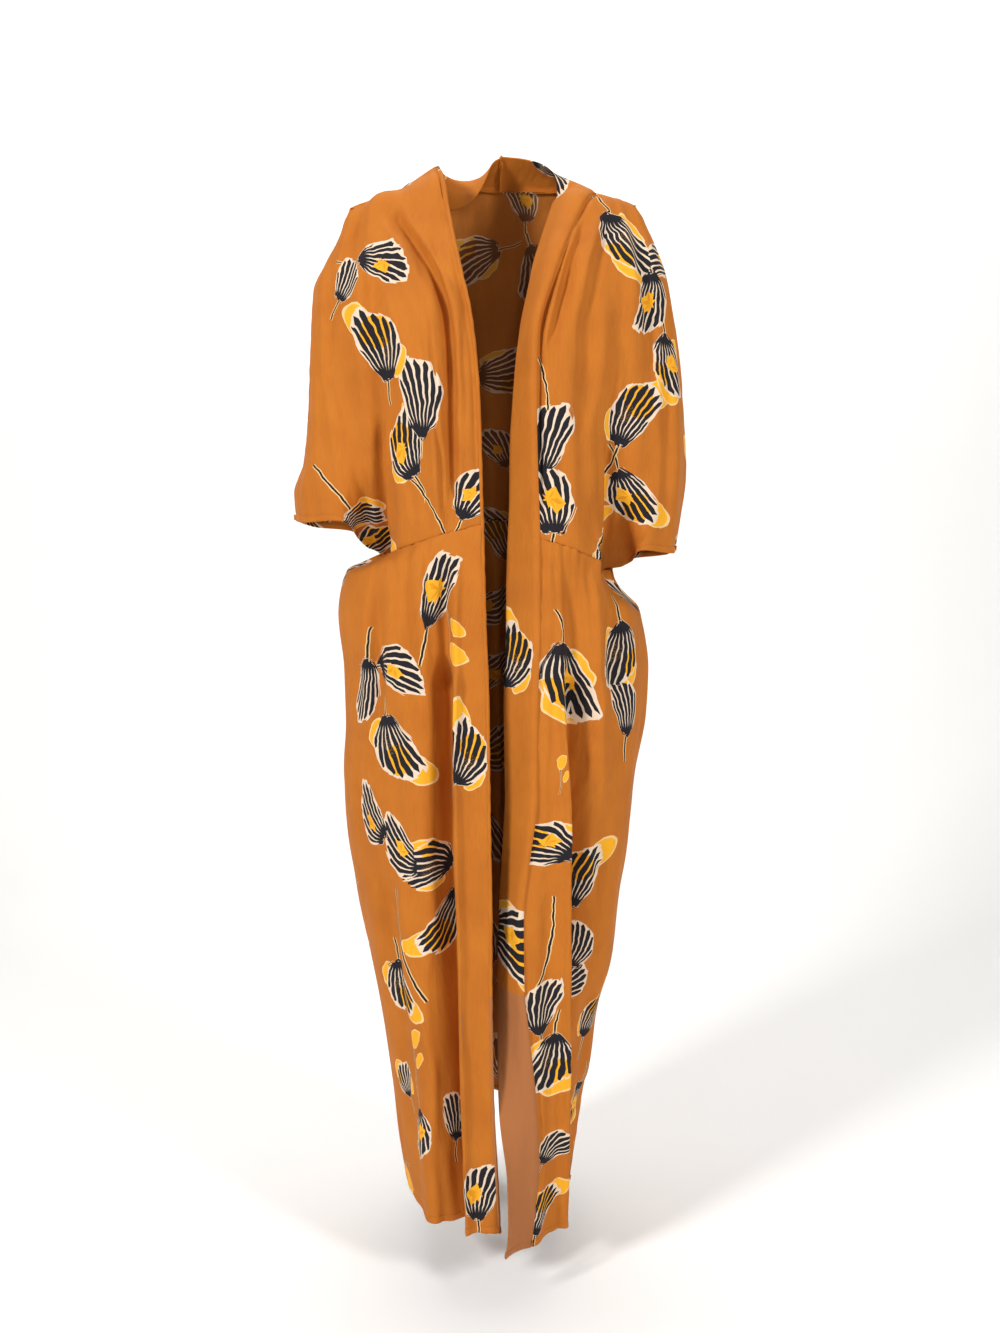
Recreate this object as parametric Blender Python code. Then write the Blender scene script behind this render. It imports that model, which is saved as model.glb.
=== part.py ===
# Kimono coat: an open-front duster with elbow-length dolman sleeves, kept in its worn form.
# Metres, +Z up. The front faces -Y and the wearer's left is at +X.
# The origin lies midway between the tops of the shoulders, where the wearer carries the coat.

import bpy
import numpy as np

# Driving dimensions in metres
WALL = 0.0015
SEAM_GAP = 0.0003
BAND_WIDTH = 0.050
FOLD_BEND_LENGTH = 0.008
UNDERARM_SEAM = 0.012
NECK_CENTRE_X = 0.009
MM = 0.001

# Shapes that have no size: how square the skirt is, how far below the waist it reaches its full width,
# and the angle from which a band lies against the panel behind it
SECTION_POWER = 2.35
FLARE = {"right": 0.025, "left": 0.065}
TURNED_BACK = 115
TURNING = 60

# Where the control points of a section lie, as shares of the way to the next named column
AT = {"bust_x": 0.34, "bust_z": 0.30, "side_x": 0.74, "side_z": 0.72, "arm_start_z": 0.1, "arm_x": 0.32,
      "outer_x": 0.78, "outer_front_y": 0.74, "outer_front_z": 0.6, "outer_back_y": 0.78,
      "outer_back_z": 0.35, "neck_x": 0.42, "neck_spread": 0.25, "neck_slope": 0.25, "neck_below": 0.35,
      "blade_x": 0.6, "blade_z": 0.55, "nape_x": 0.5, "nape_y": 0.6, "nape_z": 0.5}

# How many columns and rows each stretch of cloth is divided into
FRONT_COLUMNS = 22
ARM_COLUMNS = 10
BLADE_COLUMNS = 11
NECK_COLUMNS = 6
SPLINE_STEPS = 24
RING_STEPS = 90
BEND_STEPS = 6
BAND_STEPS = (0, 0.003, 0.0055, 0.008, 0.015, 0.022, 0.029, 0.036, 0.043, BAND_WIDTH)
BODICE_ROWS = (0, .04, .09, .15, .22, .31, .41, .51, .61, .71, .80, .88, .95, 1)
SKIRT_ROWS = (0, .02, .045, .075, .12, .18, .26, .35, .45, .55, .65, .75, .84, .92, .97, 1)

# Bodice fronts in millimetres, one row for each section from the shoulder seam (0) to the waist and cuff (1).
# Edge: front opening. Pit: valley between body and arm. Over: seam along the top and outside of the arm.
FRONT_NAMES = ("t", "edge_x", "edge_y", "edge_z", "sag", "bust_y", "side_y", "pit_x", "pit_y", "pit_z",
               "arm_y", "arm_z", "over_x", "over_y", "over_z")
FRONT_RIGHT = (
    (0.00, -72, 0, 5, 7, 0, 0, -142, 0, -26, 0, -36, -183, 0, -47),
    (0.04, -66, -25, -10, 6, -23, -20, -143, -16, -34, -13, -46, -190, -1, -62),
    (0.09, -57, -52, -58, 4, -48, -42, -146, -33, -68, -26, -80, -203, -2, -94),
    (0.22, -43, -90, -122, 2, -86, -78, -150, -66, -134, -50, -142, -232, -4, -150),
    (0.41, -26, -113, -198, 0, -117, -102, -149, -84, -208, -64, -214, -238, -5, -222),
    (0.61, -19, -125, -276, 0, -128, -110, -145, -84, -288, -70, -292, -242, -5, -297),
    (0.80, -16, -130, -360, 0, -131, -112, -143, -74, -372, -74, -366, -250, -4, -368),
    (0.92, -15, -130, -412, 0, -130, -108, -144, -44, -434, -76, -412, -264, -3, -412),
    (1.00, -14, -130, -443, -2, -128, -98, -150, -1, -489, -76, -442, -262, -2, -447))
FRONT_LEFT = (
    (0.00, 130, 0, -27, 0, 0, 0, 156, 0, -34, 0, -37, 183, 0, -44),
    (0.04, 119, -23, -36, 0, -21, -19, 157, -16, -42, -13, -46, 192, -1, -58),
    (0.09, 106, -44, -62, 0, -42, -38, 158, -32, -70, -26, -76, 205, -2, -84),
    (0.22, 80, -86, -124, 0, -84, -76, 162, -64, -134, -50, -138, 226, -4, -142),
    (0.41, 55, -117, -216, 0, -116, -102, 160, -82, -222, -64, -222, 241, -5, -222),
    (0.61, 54, -128, -300, 0, -128, -110, 150, -86, -306, -72, -302, 250, -5, -300),
    (0.80, 56, -131, -385, 0, -131, -112, 148, -80, -392, -78, -386, 255, -4, -384),
    (0.92, 58, -131, -436, 0, -130, -108, 152, -48, -456, -80, -440, 249, -3, -438),
    (1.00, 59, -130, -462, -6, -127, -98, 160, -1, -510, -80, -479, 242, -2, -488))

# Bodice back in millimetres, with the same sections. Neck is the column below the top of the shoulder.
BACK_NAMES = ("t", "centre_y", "centre_z", "neck_y", "neck_z", "blade_y", "pit_y", "arm_y", "arm_drop")
BACK = (
    (0.00, 74, -14, 0, 0, 0, 0, 0, 0),
    (0.04, 82, -31, 26, -6, 20, 13, 11, 0),
    (0.09, 91, -54, 54, -30, 42, 26, 22, 0),
    (0.22, 106, -120, 97, -108, 86, 62, 42, 0),
    (0.41, 113, -200, 112, -192, 104, 78, 52, 0),
    (0.61, 115, -280, 114, -276, 108, 80, 56, 2),
    (0.80, 114, -362, 112, -360, 106, 66, 58, 6),
    (0.92, 113, -414, 110, -416, 98, 36, 56, 12),
    (1.00, 112, -452, 109, -456, 90, 1, 52, 22))

# Skirt in millimetres, one row for each level: half widths, depths to front and back, where the fronts end
SKIRT_NAMES = ("z", "right", "left", "front", "back", "right_edge", "left_edge")
SKIRT = (
    (-440, 172, 160, 131, 113, -14, 59),
    (-490, 186, 166, 134, 117, -13, 59),
    (-530, 200, 184, 142, 128, -12, 59),
    (-570, 206, 197, 149, 138, -11, 59),
    (-640, 199, 208, 155, 147, -8, 57),
    (-700, 198, 206, 159, 151, -7, 56),
    (-785, 203, 192, 162, 153, -6, 56),
    (-865, 198, 185, 165, 155, -5, 47),
    (-945, 187, 172, 167, 158, -4, 39),
    (-1030, 171, 158, 168, 161, -4, 40),
    (-1110, 156, 141, 169, 164, -3, 48),
    (-1200, 142, 134, 170, 168, -1, 57),
    (-1285, 133, 123, 171, 172, 3, 61),
    (-1345, 124, 115, 172, 175, 6, 57),
    (-1410, 116, 107, 172, 177, 9, 50))

# Height of the hem in millimetres at these shares of each front from its edge to the side, and at the back
HEM_SHARES = (0, 0.5, 0.8, 1)
HEM = {"right": (-1374, -1372, -1358, -1332), "left": (-1402, -1390, -1394, -1396), "back": -1336}

# Largest folds in millimetres, one row for each: four points of its line as x, z, then half width, depth and
# the length over which it dies out at its lower end, or 0 where it runs on
FOLD_NAMES = ("panel", "x1", "z1", "x2", "z2", "x3", "z3", "x4", "z4", "width", "depth", "fade")
FOLDS = (
    ("front_right", -135, -40, -79, -128, -54, -188, -46, -444, 9, 11, 60),
    ("front_right", -168, -60, -156, -130, -138, -230, -128, -340, 14, 4, 60),
    ("front_right", -98, -300, -94, -350, -92, -400, -92, -452, 12, 3, 60),
    ("front_left", 123, -46, 102, -108, 83, -170, 66, -250, 9, 8, 60),
    ("front_left", 150, -52, 136, -120, 118, -230, 106, -350, 13, 5, 60),
    ("front_left", 86, -330, 86, -380, 86, -420, 86, -466, 8, 3, 60),
    ("back", -128, -60, -112, -160, -98, -300, -92, -450, 18, 7, 0),
    ("back", -46, -70, -44, -180, -40, -320, -38, -452, 16, 5, 0),
    ("back", 24, -60, 26, -180, 24, -320, 22, -455, 15, 4, 0),
    ("back", 84, -56, 86, -160, 88, -300, 92, -460, 19, 7, 0),
    ("back", 140, -70, 138, -160, 134, -300, 128, -470, 13, 5, 0),
    ("skirt_front_right", -63, -446, -63, -660, -54, -924, -42, -1380, 13, 31, 0),
    ("skirt_front_right", -104, -480, -100, -665, -97, -930, -90, -1250, 12, 8, 60),
    ("skirt_front_right", -146, -490, -147, -560, -148, -606, -150, -720, 9, 8, 60),
    ("skirt_front_right", -140, -880, -128, -1000, -112, -1150, -96, -1370, 13, 9, 0),
    ("skirt_front_left", 96, -470, 106, -680, 114, -865, 108, -1400, 14, 18, 0),
    ("skirt_front_left", 150, -500, 154, -672, 149, -810, 142, -940, 12, 10, 60),
    ("skirt_front_left", 72, -900, 72, -1020, 74, -1180, 74, -1400, 9, 4, 0),
    ("skirt_back", -118, -480, -126, -700, -112, -1000, -76, -1350, 19, 20, 0),
    ("skirt_back", -58, -462, -62, -700, -52, -1000, -34, -1340, 15, 12, 0),
    ("skirt_back", 4, -458, 6, -700, 8, -1000, 6, -1340, 17, 17, 0),
    ("skirt_back", 62, -466, 70, -700, 58, -1000, 42, -1350, 15, 11, 0),
    ("skirt_back", 122, -490, 132, -700, 112, -1000, 76, -1370, 18, 21, 0))

# A fold deepens over this length from its upper end. The cloth beside it rises by a share of its depth,
# at a place and over a width given in the fold's half widths.
FOLD_RUN_IN = 45
RISE = {"share": 0.32, "place": 1.75, "width": 0.8}
# Columns or rows over which the folds of a panel fade beside its seams
FADE = {"front_edge": 3, "arm_seam": 5, "front_shoulder": 1.5, "back_side": 9, "back_shoulder": 3,
        "skirt_edge": 2.5, "skirt_side": 4, "waist_share": 0.12}

# How far each band is rolled towards the body below the top of the shoulder: height in mm, angle in degrees.
# It starts out lifted by some degrees and turns over the bend's length. Around the neck it turns from
# NECK_ROLL and NECK_BEND at the centre back to the first row here.
ROLL_NAMES = ("z", "degrees", "lift", "bend")
ROLL_RIGHT = ((5, 150, 0, 8), (-20, 168, 0, 8), (-60, 180, 0, 8), (-150, 180, 0, 8), (-1410, 180, 0, 8))
ROLL_LEFT = (
    (-27, 56, 8, 36), (-48, 58, 4, 34), (-108, 64, 0, 26), (-167, 70, 0, 16), (-206, 71, 0, 12),
    (-231, 66, 0, 12), (-291, 50, 0, 12), (-352, 36, 0, 12), (-413, 30, 0, 12), (-468, 22, 0, 12),
    (-660, 22, 0, 12), (-787, 21, 0, 12), (-864, 42, 0, 12), (-943, 56, 0, 12), (-1030, 56, 0, 12),
    (-1137, 40, 0, 20), (-1190, 28, 0, 30), (-1248, 0, 0, 40), (-1316, -24, 0, 50), (-1376, -40, 0, 50),
    (-1410, -46, 0, 50))
NECK_ROLL = 18
NECK_BEND = 30

# Sides of each piece that are drawn back from a seam, half the gap on each piece
HALF_GAP = SEAM_GAP / 2
SEAMS = {
    "front_right": {"top": HALF_GAP, "bottom": HALF_GAP, "start": HALF_GAP, "end": HALF_GAP},
    "front_left": {"top": HALF_GAP, "bottom": HALF_GAP, "start": HALF_GAP, "end": HALF_GAP},
    "back": {"top": HALF_GAP, "bottom": HALF_GAP, "start": HALF_GAP, "end": HALF_GAP},
    "skirt_front_right": {"top": HALF_GAP, "start": HALF_GAP, "end": HALF_GAP},
    "skirt_front_left": {"top": HALF_GAP, "start": HALF_GAP, "end": HALF_GAP},
    "skirt_back": {"top": HALF_GAP, "start": HALF_GAP, "end": HALF_GAP},
    "band_right": {"top": HALF_GAP, "start": HALF_GAP},
    "band_left": {"top": HALF_GAP, "start": HALF_GAP},
}
# Which way the normal of each grid's rows and columns has to be turned to point outwards
FACING = {"front_right": 1, "front_left": -1, "back": 1, "skirt_front_right": 1, "skirt_front_left": -1,
          "skirt_back": 1, "band_right": -1, "band_left": 1}

CLOTH_COLOUR = (0.539, 0.180, 0.033, 1.0)
CLOTH_ROUGHNESS = 0.78

# Tolerances
SAME_POINT = 0.00001
TINY = 1e-12
LEAN_LIMIT = 0.6


# Reading the tables

def column(table, names, name):
    place = names.index(name)
    return np.array([row[place] for row in table], float)


def through(xs, ys, x):
    # Smooth curve through the table's values that never overshoots them
    xs, ys, x = np.asarray(xs, float), np.asarray(ys, float), np.asarray(x, float)
    width = np.diff(xs)
    rise = np.diff(ys) / width
    slope = np.concatenate([rise[:1], np.zeros(len(rise) - 1), rise[-1:]])
    both = rise[:-1] * rise[1:]
    same_way = both > 0
    slope[1:-1][same_way] = (2 * both / (rise[:-1] + rise[1:] + (~same_way)))[same_way]
    i = np.clip(np.searchsorted(xs, x) - 1, 0, len(width) - 1)
    u = np.clip((x - xs[i]) / width[i], 0, 1)
    start, end = ys[i], ys[i + 1]
    return (start * (1 + 2 * u) * (1 - u) ** 2 + end * u * u * (3 - 2 * u)
            + width[i] * (slope[i] * u * (1 - u) ** 2 - slope[i + 1] * u * u * (1 - u)))


def section_at(table, names, t):
    # All columns of a table at one place, in metres apart from the first
    first = column(table, names, names[0])
    values = {name: float(through(first, column(table, names, name), t)) * MM for name in names[1:]}
    return values


def smooth_step(x):
    x = np.clip(x, 0, 1)
    return x * x * (3 - 2 * x)


def mix(a, b, share):
    return a + (b - a) * share


def unit(vectors):
    return vectors / (np.linalg.norm(vectors, axis=-1, keepdims=True) + TINY)


# Curves

def spline(points):
    # Dense smooth curve through points at unequal distances
    points = np.asarray(points, float)
    step = np.linalg.norm(np.diff(points, axis=0), axis=1) + 1e-9
    rise = np.diff(points, axis=0) / step[:, None]
    slope = np.vstack([rise[:1], np.zeros((len(points) - 2, 3)), rise[-1:]])
    before, after = step[:-1, None], step[1:, None]
    slope[1:-1] = (rise[:-1] * after + rise[1:] * before) / (before + after)
    u = np.arange(SPLINE_STEPS)[:, None] / SPLINE_STEPS
    pieces = []
    for i in range(len(step)):
        pieces.append(points[i] * (1 + 2 * u) * (1 - u) ** 2 + points[i + 1] * u * u * (3 - 2 * u)
                      + step[i] * (slope[i] * u * (1 - u) ** 2 - slope[i + 1] * u * u * (1 - u)))
    return np.vstack(pieces + [points[-1:]])


def even_points(curve, count):
    # The curve divided into equal lengths
    reach = np.concatenate([[0], np.cumsum(np.linalg.norm(np.diff(curve, axis=0), axis=1))])
    wanted = np.linspace(0, reach[-1], count + 1)
    return np.stack([np.interp(wanted, reach, curve[:, k]) for k in range(3)], 1)


def settle_on_chords(row, start, end):
    # Every second point moves to the middle of its neighbours, so that a coarser edge lies on the same line
    for i in range(start + 1, end, 2):
        row[i] = (row[i - 1] + row[i + 1]) / 2


# Surface normals of a grid of points, pointing away from the body's upright axis

def grid_normals(grid):
    across = np.gradient(grid, axis=1)
    down = np.gradient(grid, axis=0)
    return unit(np.cross(across, down))


def fold_depth(grid, panel):
    # How deep the panel's folds are at each of its points
    depth = np.zeros(grid.shape[:2])
    for fold in FOLDS:
        row = dict(zip(FOLD_NAMES, fold))
        if row["panel"] != panel:
            continue
        levels = [row["z4"], row["z3"], row["z2"], row["z1"]]
        places = [row["x4"], row["x3"], row["x2"], row["x1"]]
        z = grid[..., 2] / MM
        line = through(levels, places, z)
        slant = np.abs(row["x3"] - row["x1"]) / (row["z1"] - row["z3"])
        away = np.abs(grid[..., 0] / MM - line) / row["width"] / np.hypot(1, slant)
        rise = RISE["share"] * np.exp(-((away - RISE["place"]) / RISE["width"]) ** 2)
        runs_in = smooth_step((row["z1"] - z) / FOLD_RUN_IN)
        runs_out = smooth_step((z - row["z4"]) / row["fade"]) if row["fade"] else 1
        depth += row["depth"] * MM * (np.exp(-away ** 2) - rise) * runs_in * runs_out
    return depth


def fold_in(grid, panel, away_from_seams):
    normal = grid_normals(grid) * FACING[panel]
    return grid - normal * (fold_depth(grid, panel) * away_from_seams)[..., None]


# Bodice

def underarm_x(v, t, side):
    # The arm's side of the underarm seam, which widens from the shoulder down
    seam = UNDERARM_SEAM * smooth_step(3 * t + 0.3)
    return v["pit_x"] + (-seam if side == "right" else seam)


def front_row(side, t):
    table = FRONT_RIGHT if side == "right" else FRONT_LEFT
    v = section_at(table, FRONT_NAMES, t)
    arm_start = underarm_x(v, t, side)
    points = [
        (v["edge_x"], v["edge_y"], v["edge_z"]),
        (mix(v["edge_x"], v["pit_x"], AT["bust_x"]), v["bust_y"],
         mix(v["edge_z"], v["pit_z"], AT["bust_z"]) - v["sag"]),
        (mix(v["edge_x"], v["pit_x"], AT["side_x"]), v["side_y"],
         mix(v["edge_z"], v["pit_z"], AT["side_z"]) - v["sag"]),
        (v["pit_x"], v["pit_y"], v["pit_z"]),
        (arm_start, v["pit_y"], mix(v["pit_z"], v["arm_z"], AT["arm_start_z"])),
        (mix(arm_start, v["over_x"], AT["arm_x"]), v["arm_y"], v["arm_z"]),
        (mix(arm_start, v["over_x"], AT["outer_x"]), v["arm_y"] * AT["outer_front_y"],
         mix(v["arm_z"], v["over_z"], AT["outer_front_z"])),
        (v["over_x"], v["over_y"], v["over_z"])]
    curve = spline(points)
    body_end, arm_begin = 3 * SPLINE_STEPS, 4 * SPLINE_STEPS
    return np.vstack([even_points(curve[:body_end + 1], FRONT_COLUMNS),
                      even_points(curve[arm_begin:], ARM_COLUMNS)])


def front_grid(side):
    grid = np.stack([front_row(side, t) for t in BODICE_ROWS])
    settle_on_chords(grid[0], 0, FRONT_COLUMNS)
    place = np.arange(grid.shape[1])
    from_edge = smooth_step(place / FADE["front_edge"])
    from_arm = smooth_step((grid.shape[1] - 1 - place) / FADE["arm_seam"])
    from_shoulder = smooth_step(np.arange(grid.shape[0]) / FADE["front_shoulder"])[:, None]
    return fold_in(grid, "front_" + side, from_edge * from_arm * from_shoulder)


def back_half_row(side, t, front_top):
    table = FRONT_RIGHT if side == "right" else FRONT_LEFT
    f = section_at(table, FRONT_NAMES, t)
    b = section_at(BACK, BACK_NAMES, t)
    top = section_at(table, FRONT_NAMES, 0)
    arm_start = underarm_x(f, t, side)
    below = smooth_step(t / AT["neck_below"])
    spread = AT["neck_spread"] * (top["pit_x"] - top["edge_x"]) * min(1, t / BODICE_ROWS[1]) * (1 - below)
    neck_x = mix(top["edge_x"], AT["neck_x"] * f["pit_x"], below) + spread
    neck_z = b["neck_z"] + top["edge_z"] * (1 - smooth_step(t / AT["neck_slope"]))
    centre = (NECK_CENTRE_X * (1 - below), b["centre_y"], b["centre_z"])
    half_turn = np.sqrt(0.5)
    nape = (mix(centre[0], neck_x, mix(half_turn, AT["nape_x"], below)),
            mix(b["neck_y"], b["centre_y"], mix(half_turn, AT["nape_y"], below)),
            mix(b["centre_z"], neck_z, mix(1 - half_turn, AT["nape_z"], below)))
    if t == 0:
        turn = np.linspace(0, np.pi / 2, NECK_COLUMNS + 1)
        x = mix(centre[0], neck_x, np.sin(turn))
        y = centre[1] * np.cos(turn)
        z = mix(centre[2], neck_z, 1 - np.cos(turn))
        neck = np.stack([x, y, z], 1)
        return np.vstack([neck, front_top[2:FRONT_COLUMNS + 1:2], front_top[FRONT_COLUMNS + 1:]])
    arm_z = f["arm_z"] - b["arm_drop"]
    points = [
        centre,
        nape,
        (neck_x, b["neck_y"], neck_z),
        (mix(neck_x, f["pit_x"], AT["blade_x"]), b["blade_y"], mix(neck_z, f["pit_z"], AT["blade_z"])),
        (f["pit_x"], b["pit_y"], f["pit_z"]),
        (arm_start, b["pit_y"], mix(f["pit_z"], f["arm_z"], AT["arm_start_z"])),
        (mix(arm_start, f["over_x"], AT["arm_x"]), b["arm_y"], arm_z),
        (mix(arm_start, f["over_x"], AT["outer_x"]), b["arm_y"] * AT["outer_back_y"],
         mix(arm_z, f["over_z"], AT["outer_back_z"])),
        (f["over_x"], f["over_y"], f["over_z"])]
    curve = spline(points)
    neck_end, body_end, arm_begin = (spans * SPLINE_STEPS for spans in (2, 4, 5))
    return np.vstack([even_points(curve[:neck_end + 1], NECK_COLUMNS),
                      even_points(curve[neck_end:body_end + 1], BLADE_COLUMNS)[1:],
                      even_points(curve[arm_begin:], ARM_COLUMNS)])


def back_grid(front_right, front_left):
    rows = []
    for t in BODICE_ROWS:
        right = back_half_row("right", t, front_right[0])
        left = back_half_row("left", t, front_left[0])
        rows.append(np.vstack([right[::-1], left[1:]]))
    grid = np.stack(rows)
    for row, right, left in zip(grid, front_right, front_left):
        row[0], row[-1] = right[-1], left[-1]
    place = np.arange(grid.shape[1])
    from_sides = smooth_step(np.minimum(place, grid.shape[1] - 1 - place) / FADE["back_side"] - 0.9)
    from_shoulder = smooth_step(np.arange(grid.shape[0]) / FADE["back_shoulder"])[:, None]
    return fold_in(grid, "back", from_sides * from_shoulder)


# Skirt

def skirt_level(z):
    z = np.asarray(z, float) / MM
    levels = column(SKIRT, SKIRT_NAMES, "z")[::-1]
    return {name: through(levels, column(SKIRT, SKIRT_NAMES, name)[::-1], z) * MM for name in SKIRT_NAMES[1:]}


def ring_points(half_width, depth, angles):
    # Points of a rounded rectangle, with angle 0 at the middle of the front or back and 90 degrees beside
    power = 2 / SECTION_POWER
    return half_width * np.sin(angles) ** power, depth * np.cos(angles) ** power


def skirt_front_grid(side, waist):
    sign = -1 if side == "right" else 1
    share = np.linspace(0, 1, len(waist))
    hem = through(HEM_SHARES, np.array(HEM[side]) * MM, share)
    side_y = waist[-1][1]
    rows = []
    for v in SKIRT_ROWS:
        z = mix(waist[:, 2], hem, v)
        dense = np.linspace(0, np.pi / 2, RING_STEPS)
        middle = skirt_level(z.mean())
        x, y = ring_points(middle[side], middle["front"], dense)
        edge = sign * middle[side + "_edge"]
        keep = x > edge
        x = np.concatenate([[edge], x[keep]])
        y = np.concatenate([[np.interp(edge, x[1:], y[keep])], y[keep]])
        curve = np.stack([x, -y, np.zeros(len(x))], 1)
        even = even_points(curve, len(waist) - 1)
        level = skirt_level(z)
        grow = level[side] / middle[side]
        row = np.stack([sign * even[:, 0] * grow, even[:, 1] * level["front"] / middle["front"], z], 1)
        row[:, 0] += (level[side + "_edge"] - row[0, 0]) * (1 - share) ** 3
        row[:, 1] = np.minimum(row[:, 1], side_y)
        rows.append(mix(waist, row, smooth_step(v / FLARE[side])) * (1, 1, 0) + row * (0, 0, 1))
    grid = np.stack(rows)
    place = np.arange(len(waist))
    from_edge = smooth_step(place / FADE["skirt_edge"])
    from_side = smooth_step((place[-1] - place) / FADE["skirt_side"])
    below = smooth_step(np.array(SKIRT_ROWS) / FADE["waist_share"])[:, None]
    return fold_in(grid, "skirt_front_" + side, from_edge * from_side * below)


def skirt_back_grid(waist):
    count = len(waist)
    share = np.linspace(-1, 1, count)
    side_hem = mix(HEM["right"][-1], HEM["left"][-1], (share + 1) / 2) * MM
    flare = mix(FLARE["right"], FLARE["left"], (share[:, None] + 1) / 2)
    hem = mix(HEM["back"] * MM, side_hem, share ** 2)
    rows = []
    for v in SKIRT_ROWS:
        z = mix(waist[:, 2], hem, v)
        level = skirt_level(z)
        middle = skirt_level(z.mean())
        dense = np.linspace(-np.pi / 2, np.pi / 2, 2 * RING_STEPS)
        half = np.where(dense < 0, middle["right"], middle["left"])
        x, y = ring_points(half, middle["back"], np.abs(dense))
        curve = np.stack([np.sign(dense) * x, y, 0 * dense], 1)
        even = even_points(curve, count - 1)
        grow = np.where(share < 0, level["right"] / middle["right"], level["left"] / middle["left"])
        row = np.stack([even[:, 0] * grow, even[:, 1] * level["back"] / middle["back"], z], 1)
        row[:, 1] = np.maximum(row[:, 1], 0)
        rows.append(mix(waist, row, smooth_step(v / flare)) * (1, 1, 0) + row * (0, 0, 1))
    grid = np.stack(rows)
    from_sides = smooth_step((1 - np.abs(share)) * 4)
    below = smooth_step(np.array(SKIRT_ROWS) / FADE["waist_share"])[:, None]
    return fold_in(grid, "skirt_back", from_sides * below)


# Bands

def strip_points(points, normals, reach, depth):
    # The place at each distance along a strip of a panel, moved inwards
    along = np.concatenate([[0], np.cumsum(np.linalg.norm(np.diff(points, axis=0), axis=1))])
    place = np.stack([np.interp(reach, along, points[:, k]) for k in range(3)], 1)
    facing = np.stack([np.interp(reach, along, normals[:, k]) for k in range(3)], 1)
    return place - facing * depth


def band_grid(side, strips, neck_count):
    # The band follows the seam of the back neck, the bodice front and the skirt front, and rolls about it.
    # Each strip is the stretch of panel that starts at one point of the seam, with its normals.
    seam = np.array([points[0] for points, normals in strips])
    table = ROLL_RIGHT if side == "right" else ROLL_LEFT
    levels = column(table, ROLL_NAMES, "z")[::-1]
    roll, lift, bend = (through(levels, column(table, ROLL_NAMES, name)[::-1], seam[:, 2] / MM)
                        for name in ROLL_NAMES[1:])
    from_nape = smooth_step(np.arange(neck_count) / neck_count)
    roll[:neck_count] = mix(NECK_ROLL, roll[neck_count], from_nape)
    lift[:neck_count] = lift[neck_count] * from_nape
    bend[:neck_count] = mix(NECK_BEND, bend[neck_count], from_nape)
    tangent = np.gradient(seam, axis=0)
    tangent[0] = (-1, 0, 0) if side == "right" else (1, 0, 0)
    grid = []
    settings = zip(strips, tangent, np.radians(roll), np.radians(lift), bend * MM)
    for (points, normals), t, angle, rise, turn in settings:
        n = normals[0]
        leave = unit(np.cross(n, t) if side == "right" else np.cross(t, n))
        n = unit(np.cross(t, leave) if side == "right" else np.cross(leave, t))
        place = points[0].copy()
        row = [place.copy()]
        for start, end in zip(BAND_STEPS, BAND_STEPS[1:]):
            for k in range(BEND_STEPS):
                heading = mix(-rise, angle, min(1, mix(start, end, (k + 0.5) / BEND_STEPS) / turn))
                place += (leave * np.cos(heading) - n * np.sin(heading)) * (end - start) / BEND_STEPS
            row.append(place.copy())
        row = np.array(row)
        turned = smooth_step((np.degrees(angle) - TURNED_BACK) / TURNING)
        if turned > 0:
            behind = np.array(BAND_STEPS) - FOLD_BEND_LENGTH
            lies = strip_points(points, normals, np.maximum(behind, 0), 2 * FOLD_BEND_LENGTH / np.pi)
            row = mix(row, lies, turned * (behind >= 0)[:, None])
        grid.append(row)
    return np.array(grid)


# Solids

def trim(grid, gaps):
    # Draws each named side of a grid back from its seam
    grid = grid.copy()
    for name, gap in gaps.items():
        view = {"top": grid, "bottom": grid[::-1], "start": grid.swapaxes(0, 1),
                "end": grid.swapaxes(0, 1)[::-1]}[name]
        along = unit(np.gradient(view[0], axis=0))
        step = view[1] - view[0]
        away = unit(step - along * (step * along).sum(axis=1, keepdims=True))
        view[0] += away * gap
    return grid


def cloth_material(name):
    material = bpy.data.materials.new(name)
    material.use_nodes = True
    shader = material.node_tree.nodes["Principled BSDF"]
    shader.inputs["Base Color"].default_value = CLOTH_COLOUR
    shader.inputs["Roughness"].default_value = CLOTH_ROUGHNESS
    shader.inputs["Metallic"].default_value = 0.0
    return material


def shared_normals(grids):
    # Pieces that meet at a seam share their normals there, so that their edges face each other squarely
    total = {}
    own = {name: grid_normals(grid) * FACING[name] for name, grid in grids.items()}
    for name in ("front_right", "front_left", "back"):
        own[name][0] = own[name][1]
    for name, grid in grids.items():
        for point, normal in zip(grid.reshape(-1, 3), own[name].reshape(-1, 3)):
            key = tuple(np.round(point / SAME_POINT).astype(int))
            total[key] = total.get(key, 0) + normal
    shared = {}
    for name, grid in grids.items():
        keys = [tuple(k) for k in np.round(grid.reshape(-1, 3) / SAME_POINT).astype(int)]
        normal = np.array([total[k] for k in keys]).reshape(grid.shape)
        normal = unit(normal)
        lean = np.clip((normal * own[name]).sum(axis=2, keepdims=True), LEAN_LIMIT, 1)
        shared[name] = normal / lean
        if name in ("front_right", "front_left"):
            settle_on_chords(shared[name][0], 0, FRONT_COLUMNS)
    return shared


def two_triangles(points, a, b, c, d):
    # A four-sided face cut along its shorter diagonal, so that pieces on both sides of a seam are cut alike
    if np.linalg.norm(points[b] - points[d]) < np.linalg.norm(points[a] - points[c]):
        return (a, b, d), (b, c, d)
    return (a, b, c), (a, c, d)


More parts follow.
